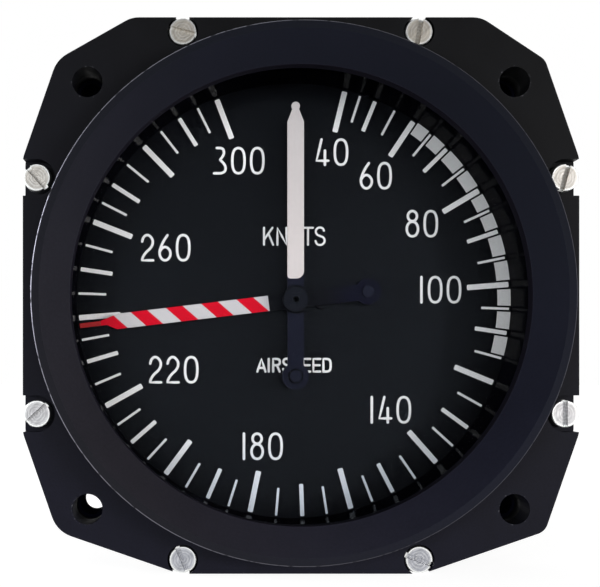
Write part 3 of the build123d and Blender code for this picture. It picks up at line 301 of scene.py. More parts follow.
def turned_group():
    """Concentric marks of a lathe tool, by the distance from their axis."""
    inputs = {"Distance": 0.0, "Vector": None, "Pitch": 0.0002}
    group, source, sink = new_group("turned_rings", inputs, ("Fac", "Height"))
    wander = noise(group, source["Vector"], 900.0, 2.0)
    turns = maths(group, "DIVIDE", source["Distance"], source["Pitch"])
    phase = plus(group, times(group, turns, math.tau), times(group, wander, 7.0))
    wave = maths(group, "SINE", phase)
    fine = maths(group, "SINE", times(group, turns, 2.7 * math.tau))
    both = plus(group, times(group, wave, 0.35), times(group, fine, 0.15))
    height = plus(group, both, 0.5)
    fill(group, sink["Height"], height)
    fill(group, sink["Fac"], times(group, height, wander))
    return group


def wear_and_glint_group():
    """Broken bright spots where a mask is high, for edges that have lost their finish and for a painted glint along
    an edge.
    """
    inputs = {"Vector": None, "Mask": 0.0, "Scale": 900.0, "Amount": 0.5}
    group, source, sink = new_group("edge_wear", inputs, ("Fac",))
    spots = noise(group, source["Vector"], source["Scale"], 3.0)
    start = minus(group, 0.75, times(group, source["Amount"], 0.5))
    shown = remap(group, spots, start, plus(group, start, 0.12))
    fill(group, sink["Fac"], times(group, source["Mask"], shown))
    return group


MAKERS = {"grain": grain_group, "brushed": brushed_group, "turned": turned_group, "wear": wear_and_glint_group}
GROUPS = {}


def placed(tree, name, inputs):
    """Places one of the shared groups in a material."""
    if name not in GROUPS:
        GROUPS[name] = MAKERS[name]()
    return node(tree, "ShaderNodeGroup", inputs, node_tree=GROUPS[name]).outputs


class Finish:
    """One material: its node tree, its principled shader and the object's own coordinates."""

    def __init__(self, name, **plain):
        self.material = bpy.data.materials.new(name)
        self.material.use_nodes = True
        self.tree = self.material.node_tree
        self.shader = self.tree.nodes["Principled BSDF"]
        for key, value in plain.items():
            self.shader.inputs[key.replace("_", " ")].default_value = value
        self.place = self.tree.nodes.new("ShaderNodeTexCoord").outputs["Object"]

    def put(self, socket, value):
        fill(self.tree, self.shader.inputs[socket], value)

    def bump(self, height, strength, distance):
        made = node(self.tree, "ShaderNodeBump", {"Height": height, "Strength": strength, "Distance": distance})
        self.put("Normal", made.outputs[0])

    def surfaced(self, group, inputs, bump, distance):
        """Connects a shared group to colour, roughness and, unless bump is None, normal."""
        got = placed(self.tree, group, inputs)
        self.put("Base Color", got["Colour"])
        self.put("Roughness", got["Roughness"])
        if bump is not None:
            self.bump(got["Height"], bump, distance)
        return self

    def grained(self, colour, scale, variation, roughness, spread, bump=0.1, distance=2e-5):
        inputs = {"Vector": self.place, "Colour": colour, "Scale": scale, "Variation": variation}
        inputs |= {"Roughness": roughness, "Roughness Spread": spread}
        return self.surfaced("grain", inputs, bump, distance)

    def lined(self, colour, scale, variation, roughness, turn):
        turned = node(self.tree, "ShaderNodeMapping", {"Vector": self.place, "Rotation": turn}).outputs[0]
        inputs = {"Vector": turned, "Colour": colour, "Scale": scale, "Variation": variation, "Roughness": roughness}
        return self.surfaced("brushed", inputs, 0.08, 1e-5)

    def worn_and_glinting(self, mask, scale, amount, colour, roughness):
        """Lets bare metal show in broken spots where the mask is high; on the ring's outer edge this is partly a
        painted glint.
        """
        tree, inputs = self.tree, self.shader.inputs
        bare = placed(tree, "wear", {"Vector": self.place, "Mask": mask, "Scale": scale, "Amount": amount})["Fac"]
        kept = times(tree, inputs["Roughness"].links[0].from_socket, minus(tree, 1.0, bare))
        self.put("Base Color", mix(tree, bare, inputs["Base Color"].links[0].from_socket, colour))
        self.put("Roughness", plus(tree, kept, times(tree, bare, roughness)))
        self.put("Metallic", bare)
        return self

    def painted_shade(self, mask, colour=(0.0004, 0.0004, 0.0005)):
        """Paints shade into the finish: deepens it to dead black where the mask is high, as where shade falls in a
        groove or under an edge.
        """
        tree, inputs = self.tree, self.shader.inputs
        kept = times(tree, inputs["Roughness"].links[0].from_socket, minus(tree, 1.0, mask))
        self.put("Base Color", mix(tree, mask, inputs["Base Color"].links[0].from_socket, colour))
        self.put("Roughness", plus(tree, kept, mask, clamp=True))
        return self

    def blended(self, factor, other):
        """Lets another shader take the principled one's place where the factor is one."""
        chosen = node(self.tree, "ShaderNodeMixShader", {0: factor, 1: self.shader.outputs[0], 2: other})
        fill(self.tree, self.tree.nodes["Material Output"].inputs["Surface"], chosen.outputs[0])


def axis_distance(tree, place, aside=0.0, up=0.0, mirrored=""):
    """Distance from a line along Y, or from the nearest of its mirror images across X and Z too."""
    axes = split(tree, place)
    x, z = (maths(tree, "ABSOLUTE", axes[k]) if k in mirrored else axes[k] for k in "XZ")
    return hypotenuse(tree, minus(tree, x, aside), minus(tree, z, up)), axes


def scaled(colour, factors):
    return [c * k for c, k in zip(colour, factors)]


def swept(tree, place, low, high, lean=0.35):
    """A colour that drifts from the bottom of the instrument to the top, leaning to the right; it paints light,
    shade and reflection that change across the front.
    """
    axes = split(tree, place)
    along = plus(tree, times(tree, axes["X"], lean), axes["Z"])
    return mix(tree, remap(tree, along, -HALF, HALF), low, high)


def dress(finish, *names):
    """Gives CAD nodes their finish."""
    for name in names:
        slots = nodes[name].data.materials
        slots.clear()
        slots.append(finish.material)


# ------------------------------ mesh helpers


def finished(name, bm, finish, body):
    """Turns a bmesh into a named piece that rides on a body."""
    bmesh.ops.remove_doubles(bm, verts=bm.verts, dist=1e-7)
    bmesh.ops.recalc_face_normals(bm, faces=bm.faces)
    mesh = bpy.data.meshes.new(name)
    bm.to_mesh(mesh)
    bm.free()
    mesh.materials.append(finish.material)
    piece = bpy.data.objects.new(name, mesh)
    bpy.context.scene.collection.objects.link(piece)
    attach(piece, body)
    return piece


def bevel(bm, geom, offset, segments, affect="EDGES"):
    shape = {"offset": offset, "segments": segments, "profile": 0.5, "affect": affect}
    bmesh.ops.bevel(bm, geom=geom, material=-1, clamp_overlap=True, **shape)


def newer(bm, known):
    return [v for v in bm.verts if v not in known]


def thickened(bm, known, height):
    """Gives the faces that are newer than the known vertices a thickness of 2 * height; returns what grew."""
    fresh = newer(bm, known)
    faces = list({f for v in fresh for f in v.link_faces})
    bmesh.ops.translate(bm, verts=fresh, vec=(0, height, 0))
    grown = bmesh.ops.extrude_face_region(bm, geom=faces, use_keep_orig=True)["geom"]
    top = [v for v in grown if isinstance(v, bmesh.types.BMVert)]
    bmesh.ops.translate(bm, verts=top, vec=(0, -2 * height, 0))
    return grown


def raised_bar(bm, width, inner, outer, height, corner):
    """A bar with rounded corners from inner to outer along Z, its front at -height and its back just inside."""
    made = bmesh.ops.create_grid(bm, x_segments=1, y_segments=1, size=0.5)["verts"]
    upright = Matrix.Translation((0, 0, (inner + outer) / 2)) @ Matrix.Rotation(math.pi / 2, 4, "X")
    bmesh.ops.transform(bm, verts=made, matrix=upright @ Matrix.Diagonal((width, outer - inner, 1, 1)))
    known = set(bm.verts) - set(made)
    bevel(bm, made, corner, 3, "VERTICES")
    rim = [e for e in thickened(bm, known, height) if isinstance(e, bmesh.types.BMEdge)]
    bevel(bm, rim, height * 0.6, 1)
    return newer(bm, known)


# ------------------------------ dial scale

TENS = (13.7, 22.2, 33.7, 45.2, 59.2, 71.2, 85.6, 98.6, 112.3, 126.1, 138.6, 152.6, 164.6, 177.7, 191.7, 203.6,
        216.5, 228.9, 240.8, 253.6, 265.5, 278.5, 291.6, 302.7, 315.9, 327.9, 339.1)


def scale_angle(knots):
    """Clockwise angle of a speed on the dial, in degrees from straight up."""
    step, rest = divmod(knots - 40, 10)
    low = TENS[step]
    return low if not rest else low + (TENS[step + 1] - low) * rest / 10


def mark(sizes, knots):
    """Inner radius and width of the mark at a speed."""
    if knots % 20 == 0:
        return sizes.major_inner, sizes.major_width
    if knots % 10 == 0:
        return sizes.medium_inner, sizes.medium_width
    return sizes.thin_inner, sizes.thin_width


def on_dial(degrees):
    """Turns a mark that points straight up to its place on the dial's front."""
    return Matrix.Translation((0, DIAL_FRONT, 0)) @ Matrix.Rotation(math.radians(degrees), 4, "Y")


def paint(name, colour, roughness):
    """Slightly uneven screen-printed paint, with painted shade that makes it greyer and bluer towards the bottom of
    the dial.
    """
    made = Finish(name, Specular_IOR_Level=0.08)
    # Painted shade: the print is darkened and blued towards the bottom of the dial
    upward = remap(made.tree, split(made.tree, made.place)["Z"], -33 * MM, -17 * MM, smooth=True)
    shaded_low = mix(made.tree, upward, scaled(colour, (0.72, 0.78, 0.86)), colour)
    return made.grained(shaded_low, 2200.0, 0.05, roughness, 0.08, 0.12, 1e-5)


class AIRSPEED_OT_scale_marks(Operator):
    """Print the scale marks from 40 to 300 knots"""

    bl_idname = "airspeed.scale_marks"
    bl_label = "Scale Marks"

    def execute(self, context):
        sizes = context.scene.airspeed_scale
        white = paint("dial_print_white", context.scene.airspeed_colours.print_white, 0.55)
        bm = bmesh.new()
        for knots in range(40, 301, 5):
            inner, width = mark(sizes, knots)
            verts = raised_bar(bm, width, inner, sizes.tick_outer, sizes.print_height, width * MARK_CORNER)
            bmesh.ops.transform(bm, verts=verts, matrix=on_dial(scale_angle(knots)))
        finished("scale_marks", bm, white, "case")
        return {"FINISHED"}


class AIRSPEED_OT_speed_band(Operator):
    """Print the arc of blocks between the marks from 60 to 115 knots"""

    bl_idname = "airspeed.speed_band"
    bl_label = "Speed Band"

    def execute(self, context):
        sizes = context.scene.airspeed_scale
        grey = scaled(context.scene.airspeed_colours.print_white, [BLOCK_GREY] * 3)
        white = paint("band_print_grey", grey, 0.55)
        bm = bmesh.new()
        middle = (sizes.band_inner + sizes.band_outer) / 2
        for knots in range(60, 115, 5):
            halves = [mark(sizes, k)[1] / 2 + sizes.band_gap for k in (knots, knots + 5)]
            start, end = (
                scale_angle(knots) + math.degrees(halves[0] / middle),
                scale_angle(knots + 5) - math.degrees(halves[1] / middle),
            )
            known = set(bm.verts)
            corners = [bm.verts.new((0, 0, r)) for r in (sizes.band_inner, sizes.band_outer)]
            geom = [*corners, bm.edges.new(corners)]
            sweep = {"cent": (0, 0, 0), "axis": (0, 1, 0), "angle": math.radians(end - start)}
            bmesh.ops.spin(bm, geom=geom, steps=5, use_duplicate=False, **sweep)
            thickened(bm, known, sizes.print_height)
            bmesh.ops.transform(bm, verts=newer(bm, known), matrix=on_dial(start))
        finished("speed_band", bm, white, "case")
        return {"FINISHED"}


# ------------------------------ numerals and words
# A stroke is (closed, points); a point is (x, z) for a smooth bend or (x, z, 1) for a corner, in mm.


def ring(x, z, half_width, half_height):
    return (True, [(x - half_width, z), (x, z + half_height), (x + half_width, z), (x, z - half_height)])


def line(*points):
    return (False, [(x, z, 1) for x, z in points])


def bow(*points):
    return (False, list(points))


NUMERALS = {
    "0": (1.94, 1.05, [ring(0.97, 2.0, 0.97, 2.0)]),
    "1": (0.0, 1.2, [line((0, 0), (0, 4.0))]),
    "2": (1.71, 1.05, [bow((0, 2.99), (0.2, 3.6), (0.78, 4.0), (1.42, 3.6), (1.67, 2.85), (1.38, 2.04), (0.6, 1.25),
                           (0.08, 0.42), (0, 0, 1), (1.71, 0, 1))]),
    "3": (1.82, 1.05, [bow((0, 0, 1), (1.1, 0, 1), (1.66, 0.3), (1.8, 0.86), (1.62, 1.38), (0.95, 2.15, 1),
                           (1.48, 2.95), (1.52, 3.5), (1.38, 3.84), (1.0, 4.0, 1), (0.44, 4.0, 1))]),
    "4": (1.85, 1.05, [line((0.79, 4.0), (0, 0.64), (1.85, 0.64)), line((1.33, 0), (1.33, 2.24))]),
    "6": (1.71, 1.05, [bow((1.23, 3.97), (0.62, 3.02), (0.18, 2.05), (0, 1.2), (0.26, 0.35), (0.86, 0), (1.46, 0.35),
                           (1.71, 1.1), (1.42, 1.8), (0.88, 2.1), (0.36, 1.88), (0.1, 1.5))]),
    "8": (1.78, 1.05, [ring(0.89, 3.2, 0.72, 0.8), ring(0.89, 1.16, 0.89, 1.16)]),
}
KNOTS = {
    "K": (0, [line((0, 0), (0, 2.68)), line((1.33, 2.68), (0.05, 0.86)), line((0.77, 1.6), (1.44, 0))]),
    "N": (2.12, [line((0, 0), (0, 2.68), (1.44, 0), (1.44, 2.68))]),
    "O": (4.2, [ring(0.76, 1.34, 0.76, 1.34)]),
    "T": (6.18, [line((0, 2.68), (1.55, 2.68)), line((0.775, 0), (0.775, 2.68))]),
    "S": (8.16, [bow((1.33, 2.22), (1.15, 2.56), (0.72, 2.72), (0.24, 2.55), (0.04, 2.1), (0.26, 1.62), (0.72, 1.38),
                     (1.22, 1.14), (1.43, 0.64), (1.18, 0.14), (0.68, -0.04), (0.22, 0.14), (0, 0.58))]),
}
LETTER_E = [line((1.09, 0), (0, 0), (0, 2.0), (1.09, 2.0)), line((0, 1.0), (0.98, 1.0))]
AIRSPEED = {
    "A": (0, [line((0, 0), (0.64, 2.0), (1.27, 0)), line((0.22, 0.58), (1.05, 0.58))]),
    "I": (1.8, [line((0, 0), (0, 2.0))]),
    "R": (2.5, [bow((0, 0, 1), (0, 2.0, 1), (0.62, 2.0, 1), (0.98, 1.82), (1.05, 1.5), (0.98, 1.2), (0.62, 1.0, 1),
                    (0, 1.0, 1)), line((0.6, 1.0), (1.02, 0))]),
    "S": (4.08, [bow((1.05, 1.64), (0.85, 1.95), (0.5, 2.03), (0.14, 1.85), (0.04, 1.52), (0.22, 1.2), (0.55, 1.02),
                     (0.92, 0.82), (1.06, 0.46), (0.88, 0.1), (0.5, -0.03), (0.16, 0.1), (0, 0.4))]),
    "P": (5.72, [bow((0, 0, 1), (0, 2.0, 1), (0.62, 2.0, 1), (0.98, 1.8), (1.05, 1.45), (0.98, 1.12), (0.62, 0.9, 1),
                     (0, 0.9, 1))]),
    "E": (7.27, LETTER_E),
    "second E": (8.86, LETTER_E),
    "D": (10.45, [bow((0, 0, 1), (0, 2.0, 1), (0.58, 2.0, 1), (0.95, 1.85), (1.12, 1.45), (1.14, 1.0), (1.12, 0.55),
                      (0.95, 0.15), (0.58, 0, 1), (0, 0, 1))]),
}
PLACES = {
    "300": (-8.70, 22.21), "40": (6.03, 23.56), "60": (13.0, 19.83), "80": (20.29, 12.23), "100": (23.29, 1.78),
    "140": (15.38, -17.23), "180": (-4.90, -23.01), "220": (-18.99, -10.89), "260": (-20.26, 8.43),
}


def centre_line(closed, points):
    """Points along a smooth stroke, from a Bezier spline's own handles."""
    curve = bpy.data.curves.new("stroke", "CURVE")
    curve.dimensions = "3D"
    spline = curve.splines.new("BEZIER")
    spline.bezier_points.add(len(points) - 1)
    for knot, point in zip(spline.bezier_points, points):
        knot.co = (point[0] * MM, 0, point[1] * MM)
    spline.use_cyclic_u = closed
    for knot, point in zip(spline.bezier_points, points):
        kind = "VECTOR" if len(point) > 2 else "AUTO"
        knot.handle_left_type = knot.handle_right_type = kind
    knots = list(spline.bezier_points)
    along = []
    for a, b in zip(knots, knots[1:] + knots[:1] if closed else knots[1:]):
        steps = 2 if a.handle_right_type == b.handle_left_type == "VECTOR" else 8
        along += interpolate_bezier(a.co, a.handle_right, b.handle_left, b.co, steps + 1)[:-1]
    if not closed:
        along.append(knots[-1].co.copy())
    bpy.data.curves.remove(curve)
    return along


def rounded_radii(along, radius):
    """Adds points near both ends of an open stroke so that its tube ends round."""
    rounds = [(0.0, 0.0), (0.05, 0.31), (0.2, 0.6), (0.5, 0.866), (1.0, 1.0)]
    first = (along[0] - along[1]).normalized()
    last = (along[-1] - along[-2]).normalized()
    head = [(along[0] + first * radius * (1 - d), r) for d, r in rounds]
    tail = [(along[-1] + last * radius * (1 - d), r) for d, r in reversed(rounds)]
    return head + [(p, 1.0) for p in along[1:-1]] + tail


def add_strokes(curve, strokes, origin, radius):
    """Adds strokes to a tube curve, their mm coordinates measured from origin in metres."""
    for closed, points in strokes:
        along = centre_line(closed, points)
        shaped = [(p, 1.0) for p in along] if closed else rounded_radii(along, radius)
        spline = curve.splines.new("POLY")
        spline.points.add(len(shaped) - 1)
        for target, (place, width) in zip(spline.points, shaped):
            target.co = (*(place + origin), 1.0)
            target.radius = width
        spline.use_cyclic_u = closed


def lettering(name, strokes_at, stroke, height, finish):
    """Makes one flat raised print of many strokes: a tube, made a mesh, then flattened onto the dial."""
    curve = bpy.data.curves.new(name, "CURVE")
    curve.dimensions = "3D"
    curve.bevel_depth = stroke / 2
    curve.bevel_resolution = 3
    for strokes, origin in strokes_at:
        add_strokes(curve, strokes, origin, stroke / 2)
    holder = bpy.data.objects.new(name + "_curve", curve)
    mesh = bpy.data.meshes.new_from_object(holder)
    bm = bmesh.new()
    bm.from_mesh(mesh)
    bpy.data.objects.remove(holder)
    bpy.data.curves.remove(curve)
    bpy.data.meshes.remove(mesh)
    bmesh.ops.scale(bm, verts=bm.verts, vec=(1, 2 * height / stroke, 1))
    bmesh.ops.translate(bm, verts=bm.verts, vec=(0, DIAL_FRONT, 0))
    return finished(name, bm, finish, "case")


class AIRSPEED_OT_numerals(Operator):
    """Print the speeds on the dial"""

    bl_idname = "airspeed.numerals"
    bl_label = "Numerals"

    def execute(self, context):
        sizes = context.scene.airspeed_scale
        white = paint("numeral_print_white", context.scene.airspeed_colours.print_white, 0.5)
        strokes_at = []
        for text, (x, z) in PLACES.items():
            gaps = [NUMERALS[c][1] for c in text[:-1]]
            width = sum(NUMERALS[c][0] for c in text) + sum(gaps)
            left = x - width / 2
            for character, gap in zip(text, gaps + [0]):
                strokes_at.append((NUMERALS[character][2], Vector((left, 0, z - NUMERAL_HALF)) * MM))
                left += NUMERALS[character][0] + gap
        lettering("numerals", strokes_at, sizes.numeral_stroke, sizes.print_height, white)
        return {"FINISHED"}


class AIRSPEED_OT_words(Operator):
    """Print the words KNOTS and AIRSPEED on the dial"""

    bl_idname = "airspeed.words"
    bl_label = "Words"

    def execute(self, context):
        sizes = context.scene.airspeed_scale
        white = paint("word_print_white", context.scene.airspeed_colours.print_white, 0.5)
        for name, letters, stroke, (x, z) in (
            ("word_knots", KNOTS, sizes.knots_stroke, (-4.7, 8.9)),
            ("word_airspeed", AIRSPEED, sizes.airspeed_stroke, (-5.75, -11.18)),
        ):
            strokes_at = [(strokes, Vector((x + left, 0, z)) * MM) for left, strokes in letters.values()]
            lettering(name, strokes_at, stroke, sizes.print_height, white)
        return {"FINISHED"}


# ------------------------------ finishes of the CAD nodes


# name, inputs, colour, grain (scale, variation, roughness, its spread, bump and its height) and the nodes
BLACKS = (
    ("case_black_paint", {"Specular_IOR_Level": 0.25}, "case", (1600.0, 0.25, 0.45, 0.12, 0.35, 5e-5),
     "case_shell rear_cover"),
    ("surround_gloss_black", {"IOR": 1.048}, "surround", (700.0, 0.2, 0.12, 0.05, 0.03, 1e-5), "dial_surround"),
    ("blackened_insert", {"IOR": 1.01}, "black_brass", (1800.0, 0.2, 0.8, 0.1, 0.1, 1e-5), "mount_inserts"),
    ("seal_rubber", {"Specular_IOR_Level": 0.3}, "rubber", (1200.0, 0.2, 0.7, 0.1, 0.3, 4e-5),
     "glass_gaskets flange_seal rear_gasket port_seals"),
)


class AIRSPEED_OT_black_parts(Operator):
    """Finish the flange, ring, case, dial, wall, seals and blackened parts"""

    bl_idname = "airspeed.black_parts"
    bl_label = "Black Parts"

    def execute(self, context):
        colours = context.scene.airspeed_colours
        self.flange(colours)
        self.bezel(colours)
        self.dial_and_hubs(colours)
        for name, inputs, shade_name, grain, wearers in BLACKS:
            dress(Finish(name, **inputs).grained(getattr(colours, shade_name), *grain), *wearers.split())
        return {"FINISHED"}

    def flange(self, colours):
        """Black with a painted bluish reflection that grows towards the bottom, and a little bare metal rubbed
        through at the mounting holes.
        """
        flange = Finish("flange_black_anodised", Specular_IOR_Level=0.08)
        tree = flange.tree
        # Painted reflection: the flange is made bluer and paler towards the bottom
        black = swept(tree, flange.place, colours.flange_low, colours.flange)
        flange.grained(black, 3200.0, 0.25, 0.5, 0.12, 0.12, 2e-5)
        from_hole, axes = axis_distance(tree, flange.place, MOUNT_HOLE, MOUNT_HOLE, "XZ")
        front = within(tree, axes["Y"], 0.2, 0.1)  # not down the hole
        rim = times(tree, within(tree, from_hole, 2.415, 0.085), front)
        dress(flange.worn_and_glinting(rim, 2600.0, 0.3, (0.13, 0.13, 0.15), 0.4), "bezel_flange")

    def bezel(self, colours):
        """Blue-black ring with painted light and shade: paler towards the bottom, painted shade in its bore and on
        its land, and bare metal along the left of its outer edge that is partly rubbed and partly a painted glint.
        """
        bezel = Finish("ring_black_satin", Specular_IOR_Level=0.12, Specular_Tint=(0.75, 0.85, 1.0, 1.0))
        tree = bezel.tree
        outward, axes = axis_distance(tree, bezel.place)
        # Painted light and shade: the ring is paler at the bottom, bluer at the lower right and darkest at the top
        to_right = remap(tree, axes["X"], -24 * MM, 30 * MM)
        low = mix(tree, to_right, colours.ring_low, colours.ring_right)
        bezel.grained(swept(tree, bezel.place, low, colours.ring), 2600.0, 0.14, 0.48, 0.08, 0.1, 2e-5)
        # Painted shade: the bore and the land are darkened where less light falls
        bezel.painted_shade(within(tree, outward, 33.97, 0.03), (0.0055, 0.0042, 0.0085))  # the bore
        bezel.painted_shade(beyond(tree, outward, 37.9, 0.04, 0.42))  # the land around the face
        front = within(tree, axes["Y"], -4.75, 0.05)  # only the foremost edge
        # The bare outer edge is partly rubbed metal and partly a painted glint, strongest on the left where it
        # catches the light
        glint_to_left = remap(tree, axes["X"], -HALF, 12 * MM, 1.0, 0.2)
        edge = times(tree, beyond(tree, outward, 38.965, 0.035), times(tree, front, glint_to_left))
        dress(bezel.worn_and_glinting(edge, 900.0, 0.85, (0.22, 0.215, 0.25), 0.4), "bezel_ring")

    def dial_and_hubs(self, colours):
        """The satin blacks behind the glass, with painted shade as dark lines where a screw, hub or rivet ends."""
        dial = Finish("dial_satin_black", Specular_IOR_Level=0.12, Specular_Tint=BLUISH)
        dress(dial.grained(colours.dial, 2800.0, 0.16, 0.34, 0.04, 0.06, 1e-5), "dial_plate")
        sunk = Finish("dial_screw_black", Specular_IOR_Level=0.14, Specular_Tint=BLUISH)
        sunk.grained(colours.dial, 2800.0, 0.16, 0.34, 0.04, 0.06, 1e-5)
        from_screw, _ = axis_distance(sunk.tree, sunk.place, DIAL_SCREW, 0.0, "X")
        # Painted shade: a dark line round the edge of each dial screw
        dress(sunk.painted_shade(beyond(sunk.tree, from_screw, 1.17, 0.05, 0.9)), "dial_screws")
        hub = Finish("hub_black", Specular_IOR_Level=0.14, Specular_Tint=BLUISH)
        hub.grained(colours.hub, 2600.0, 0.2, *SATIN, 0.08, 1e-5)
        from_axis, _ = axis_distance(hub.tree, hub.place)
        # Painted shade: a dark line at the hub's bevel, and in and around the real hole in the staff's end
        hub.painted_shade(beyond(hub.tree, from_axis, 1.86, 0.06, 0.95))  # its bevel
        hub.painted_shade(within(hub.tree, from_axis, 0.45, 0.05))  # the hole in the staff's end
        dress(hub, "airspeed_hub", "airspeed_staff", "limit_hub")
        rivet = Finish("blackened_brass", Specular_IOR_Level=0.14, Specular_Tint=BLUISH)
        rivet.grained(colours.black_brass, 2600.0, 0.2, *SATIN, 0.08, 1e-5)
        tail_end = Matrix.Rotation(math.radians(LIMIT_REST), 3, "Y") @ Vector((0, 0, -LIMIT_TAIL))
        from_first, _ = axis_distance(rivet.tree, rivet.place, 0.0, -AIRSPEED_TAIL)
        from_second, _ = axis_distance(rivet.tree, rivet.place, tail_end.x, tail_end.z)
        nearest = maths(rivet.tree, "MINIMUM", from_first, from_second)
        # Painted shade: a dark line round each rivet
        rivet.painted_shade(beyond(rivet.tree, nearest, 0.9, 0.04, 0.95))
        dress(rivet, "airspeed_counterweight", "limit_counterweight", "staff_bushing")


class AIRSPEED_OT_cover_glass(Operator):
    """Finish the coated cover glass"""

    bl_idname = "airspeed.cover_glass"
    bl_label = "Cover Glass"

    def execute(self, context):
        glass = Finish("coated_glass", Transmission_Weight=1.0, IOR=1.04)
        glass.grained((0.985, 0.99, 0.99), 500.0, 0.004, 0.004, 0.003, None)
        clear = node(glass.tree, "ShaderNodeBsdfTransparent", {"Color": (0.98, 0.98, 0.98)}).outputs[0]
        path = glass.tree.nodes.new("ShaderNodeLightPath").outputs
        # Light falls through unbent, so that the dial gets its full share
        glass.blended(highest(glass.tree, path["Is Shadow Ray"], path["Is Diffuse Ray"]), clear)
        dress(glass, "cover_glass")
        return {"FINISHED"}


# name, colour, tool lines (scale, variation, roughness, how they are turned) and the nodes
METALS = (
    ("cut_brass", "brass", (2400.0, 0.12, 0.24, (0, 0, 0)),
     "airspeed_sector limit_sector capsule_yoke capsule_stem pitot_tube aneroid_link aneroid_post frame_pillars "
     "rocker_brackets hairspring_collet hairspring_stud rear_bushing"),
    ("milled_aluminium", "aluminium", (2000.0, 0.08, 0.3, (0, 0.6, 0)),
     "front_plate rear_plate standoffs pitot_port static_port"),
    ("ground_steel", "plain_steel", (3200.0, 0.1, 0.22, (0, 0, 1.571)),
     "airspeed_sector_shaft airspeed_lever airspeed_rocker limit_staff limit_sector_shaft limit_lever limit_rocker "
     "front_plate_screws standoff_screws rear_cover_screws"),
    ("spring_bronze", "bronze", (1800.0, 0.1, 0.3, (1.571, 0, 0)), "pitot_capsule aneroid_capsule hairspring"),
)


class AIRSPEED_OT_metal_parts(Operator):
    """Finish the movement, capsules, ports and rear screws"""

    bl_idname = "airspeed.metal_parts"
    bl_label = "Metal Parts"

    def execute(self, context):
        colours = context.scene.airspeed_colours
        for name, shade_name, lines, wearers in METALS:
            dress(Finish(name, Metallic=1.0).lined(getattr(colours, shade_name), *lines), *wearers.split())
        return {"FINISHED"}


class AIRSPEED_OT_bezel_screws(Operator):
    """Finish the eight turned and slotted screws around the flange"""

    bl_idname = "airspeed.bezel_screws"
    bl_label = "Bezel Screws"

    def execute(self, context):
        steel = Finish("turned_screw_steel", Metallic=1.0)
        tree = steel.tree
        axes = split(tree, steel.place)
        across, up = maths(tree, "ABSOLUTE", axes["X"]), maths(tree, "ABSOLUTE", axes["Z"])
        # All eight screws fall on one place when the front is folded about its four symmetry lines
        far = minus(tree, highest(tree, across, up), SCREW_FAR)
        near = minus(tree, maths(tree, "MINIMUM", across, up), SCREW_NEAR)
        distance = hypotenuse(tree, far, near)
        rings = placed(tree, "turned", {"Distance": distance, "Vector": steel.place, "Pitch": 0.44 * MM})
        turned = node(tree, "ShaderNodeMapping", {"Vector": steel.place, "Rotation": (0, 0.85, 0)}).outputs[0]
        plain = context.scene.airspeed_colours.steel
        # Painted reflection: the steel is paler and warmer at the top and bluer at the bottom, as the heads mirror
        # their surroundings
        cool, warm = (scaled(plain, factors) for factors in ((0.86, 0.92, 1.06), (1.3, 1.26, 1.16)))
        colour = swept(tree, steel.place, cool, warm, 0.0)
        inputs = {"Vector": turned, "Colour": colour, "Scale": 2600.0, "Variation": 0.2, "Roughness": 0.3}
        lines = placed(tree, "brushed", inputs)
        bright = remap(tree, rings["Fac"], 0.15, 0.5, 0.0, 0.35)
        # Painted highlight: a pale rim round each head, where its edge mirrors the bright surroundings
        rim = beyond(tree, distance, 1.72, 0.06, 0.95)
        steel.put("Base Color", mix(tree, highest(tree, bright, rim), lines["Colour"], (0.78, 0.79, 0.78)))
        steel.put("Roughness", lines["Roughness"])
        both = plus(tree, rings["Height"], times(tree, lines["Height"], 0.6))
        steel.bump(both, 0.3, 2e-5)
        dress(steel, "bezel_screws")
        return {"FINISHED"}


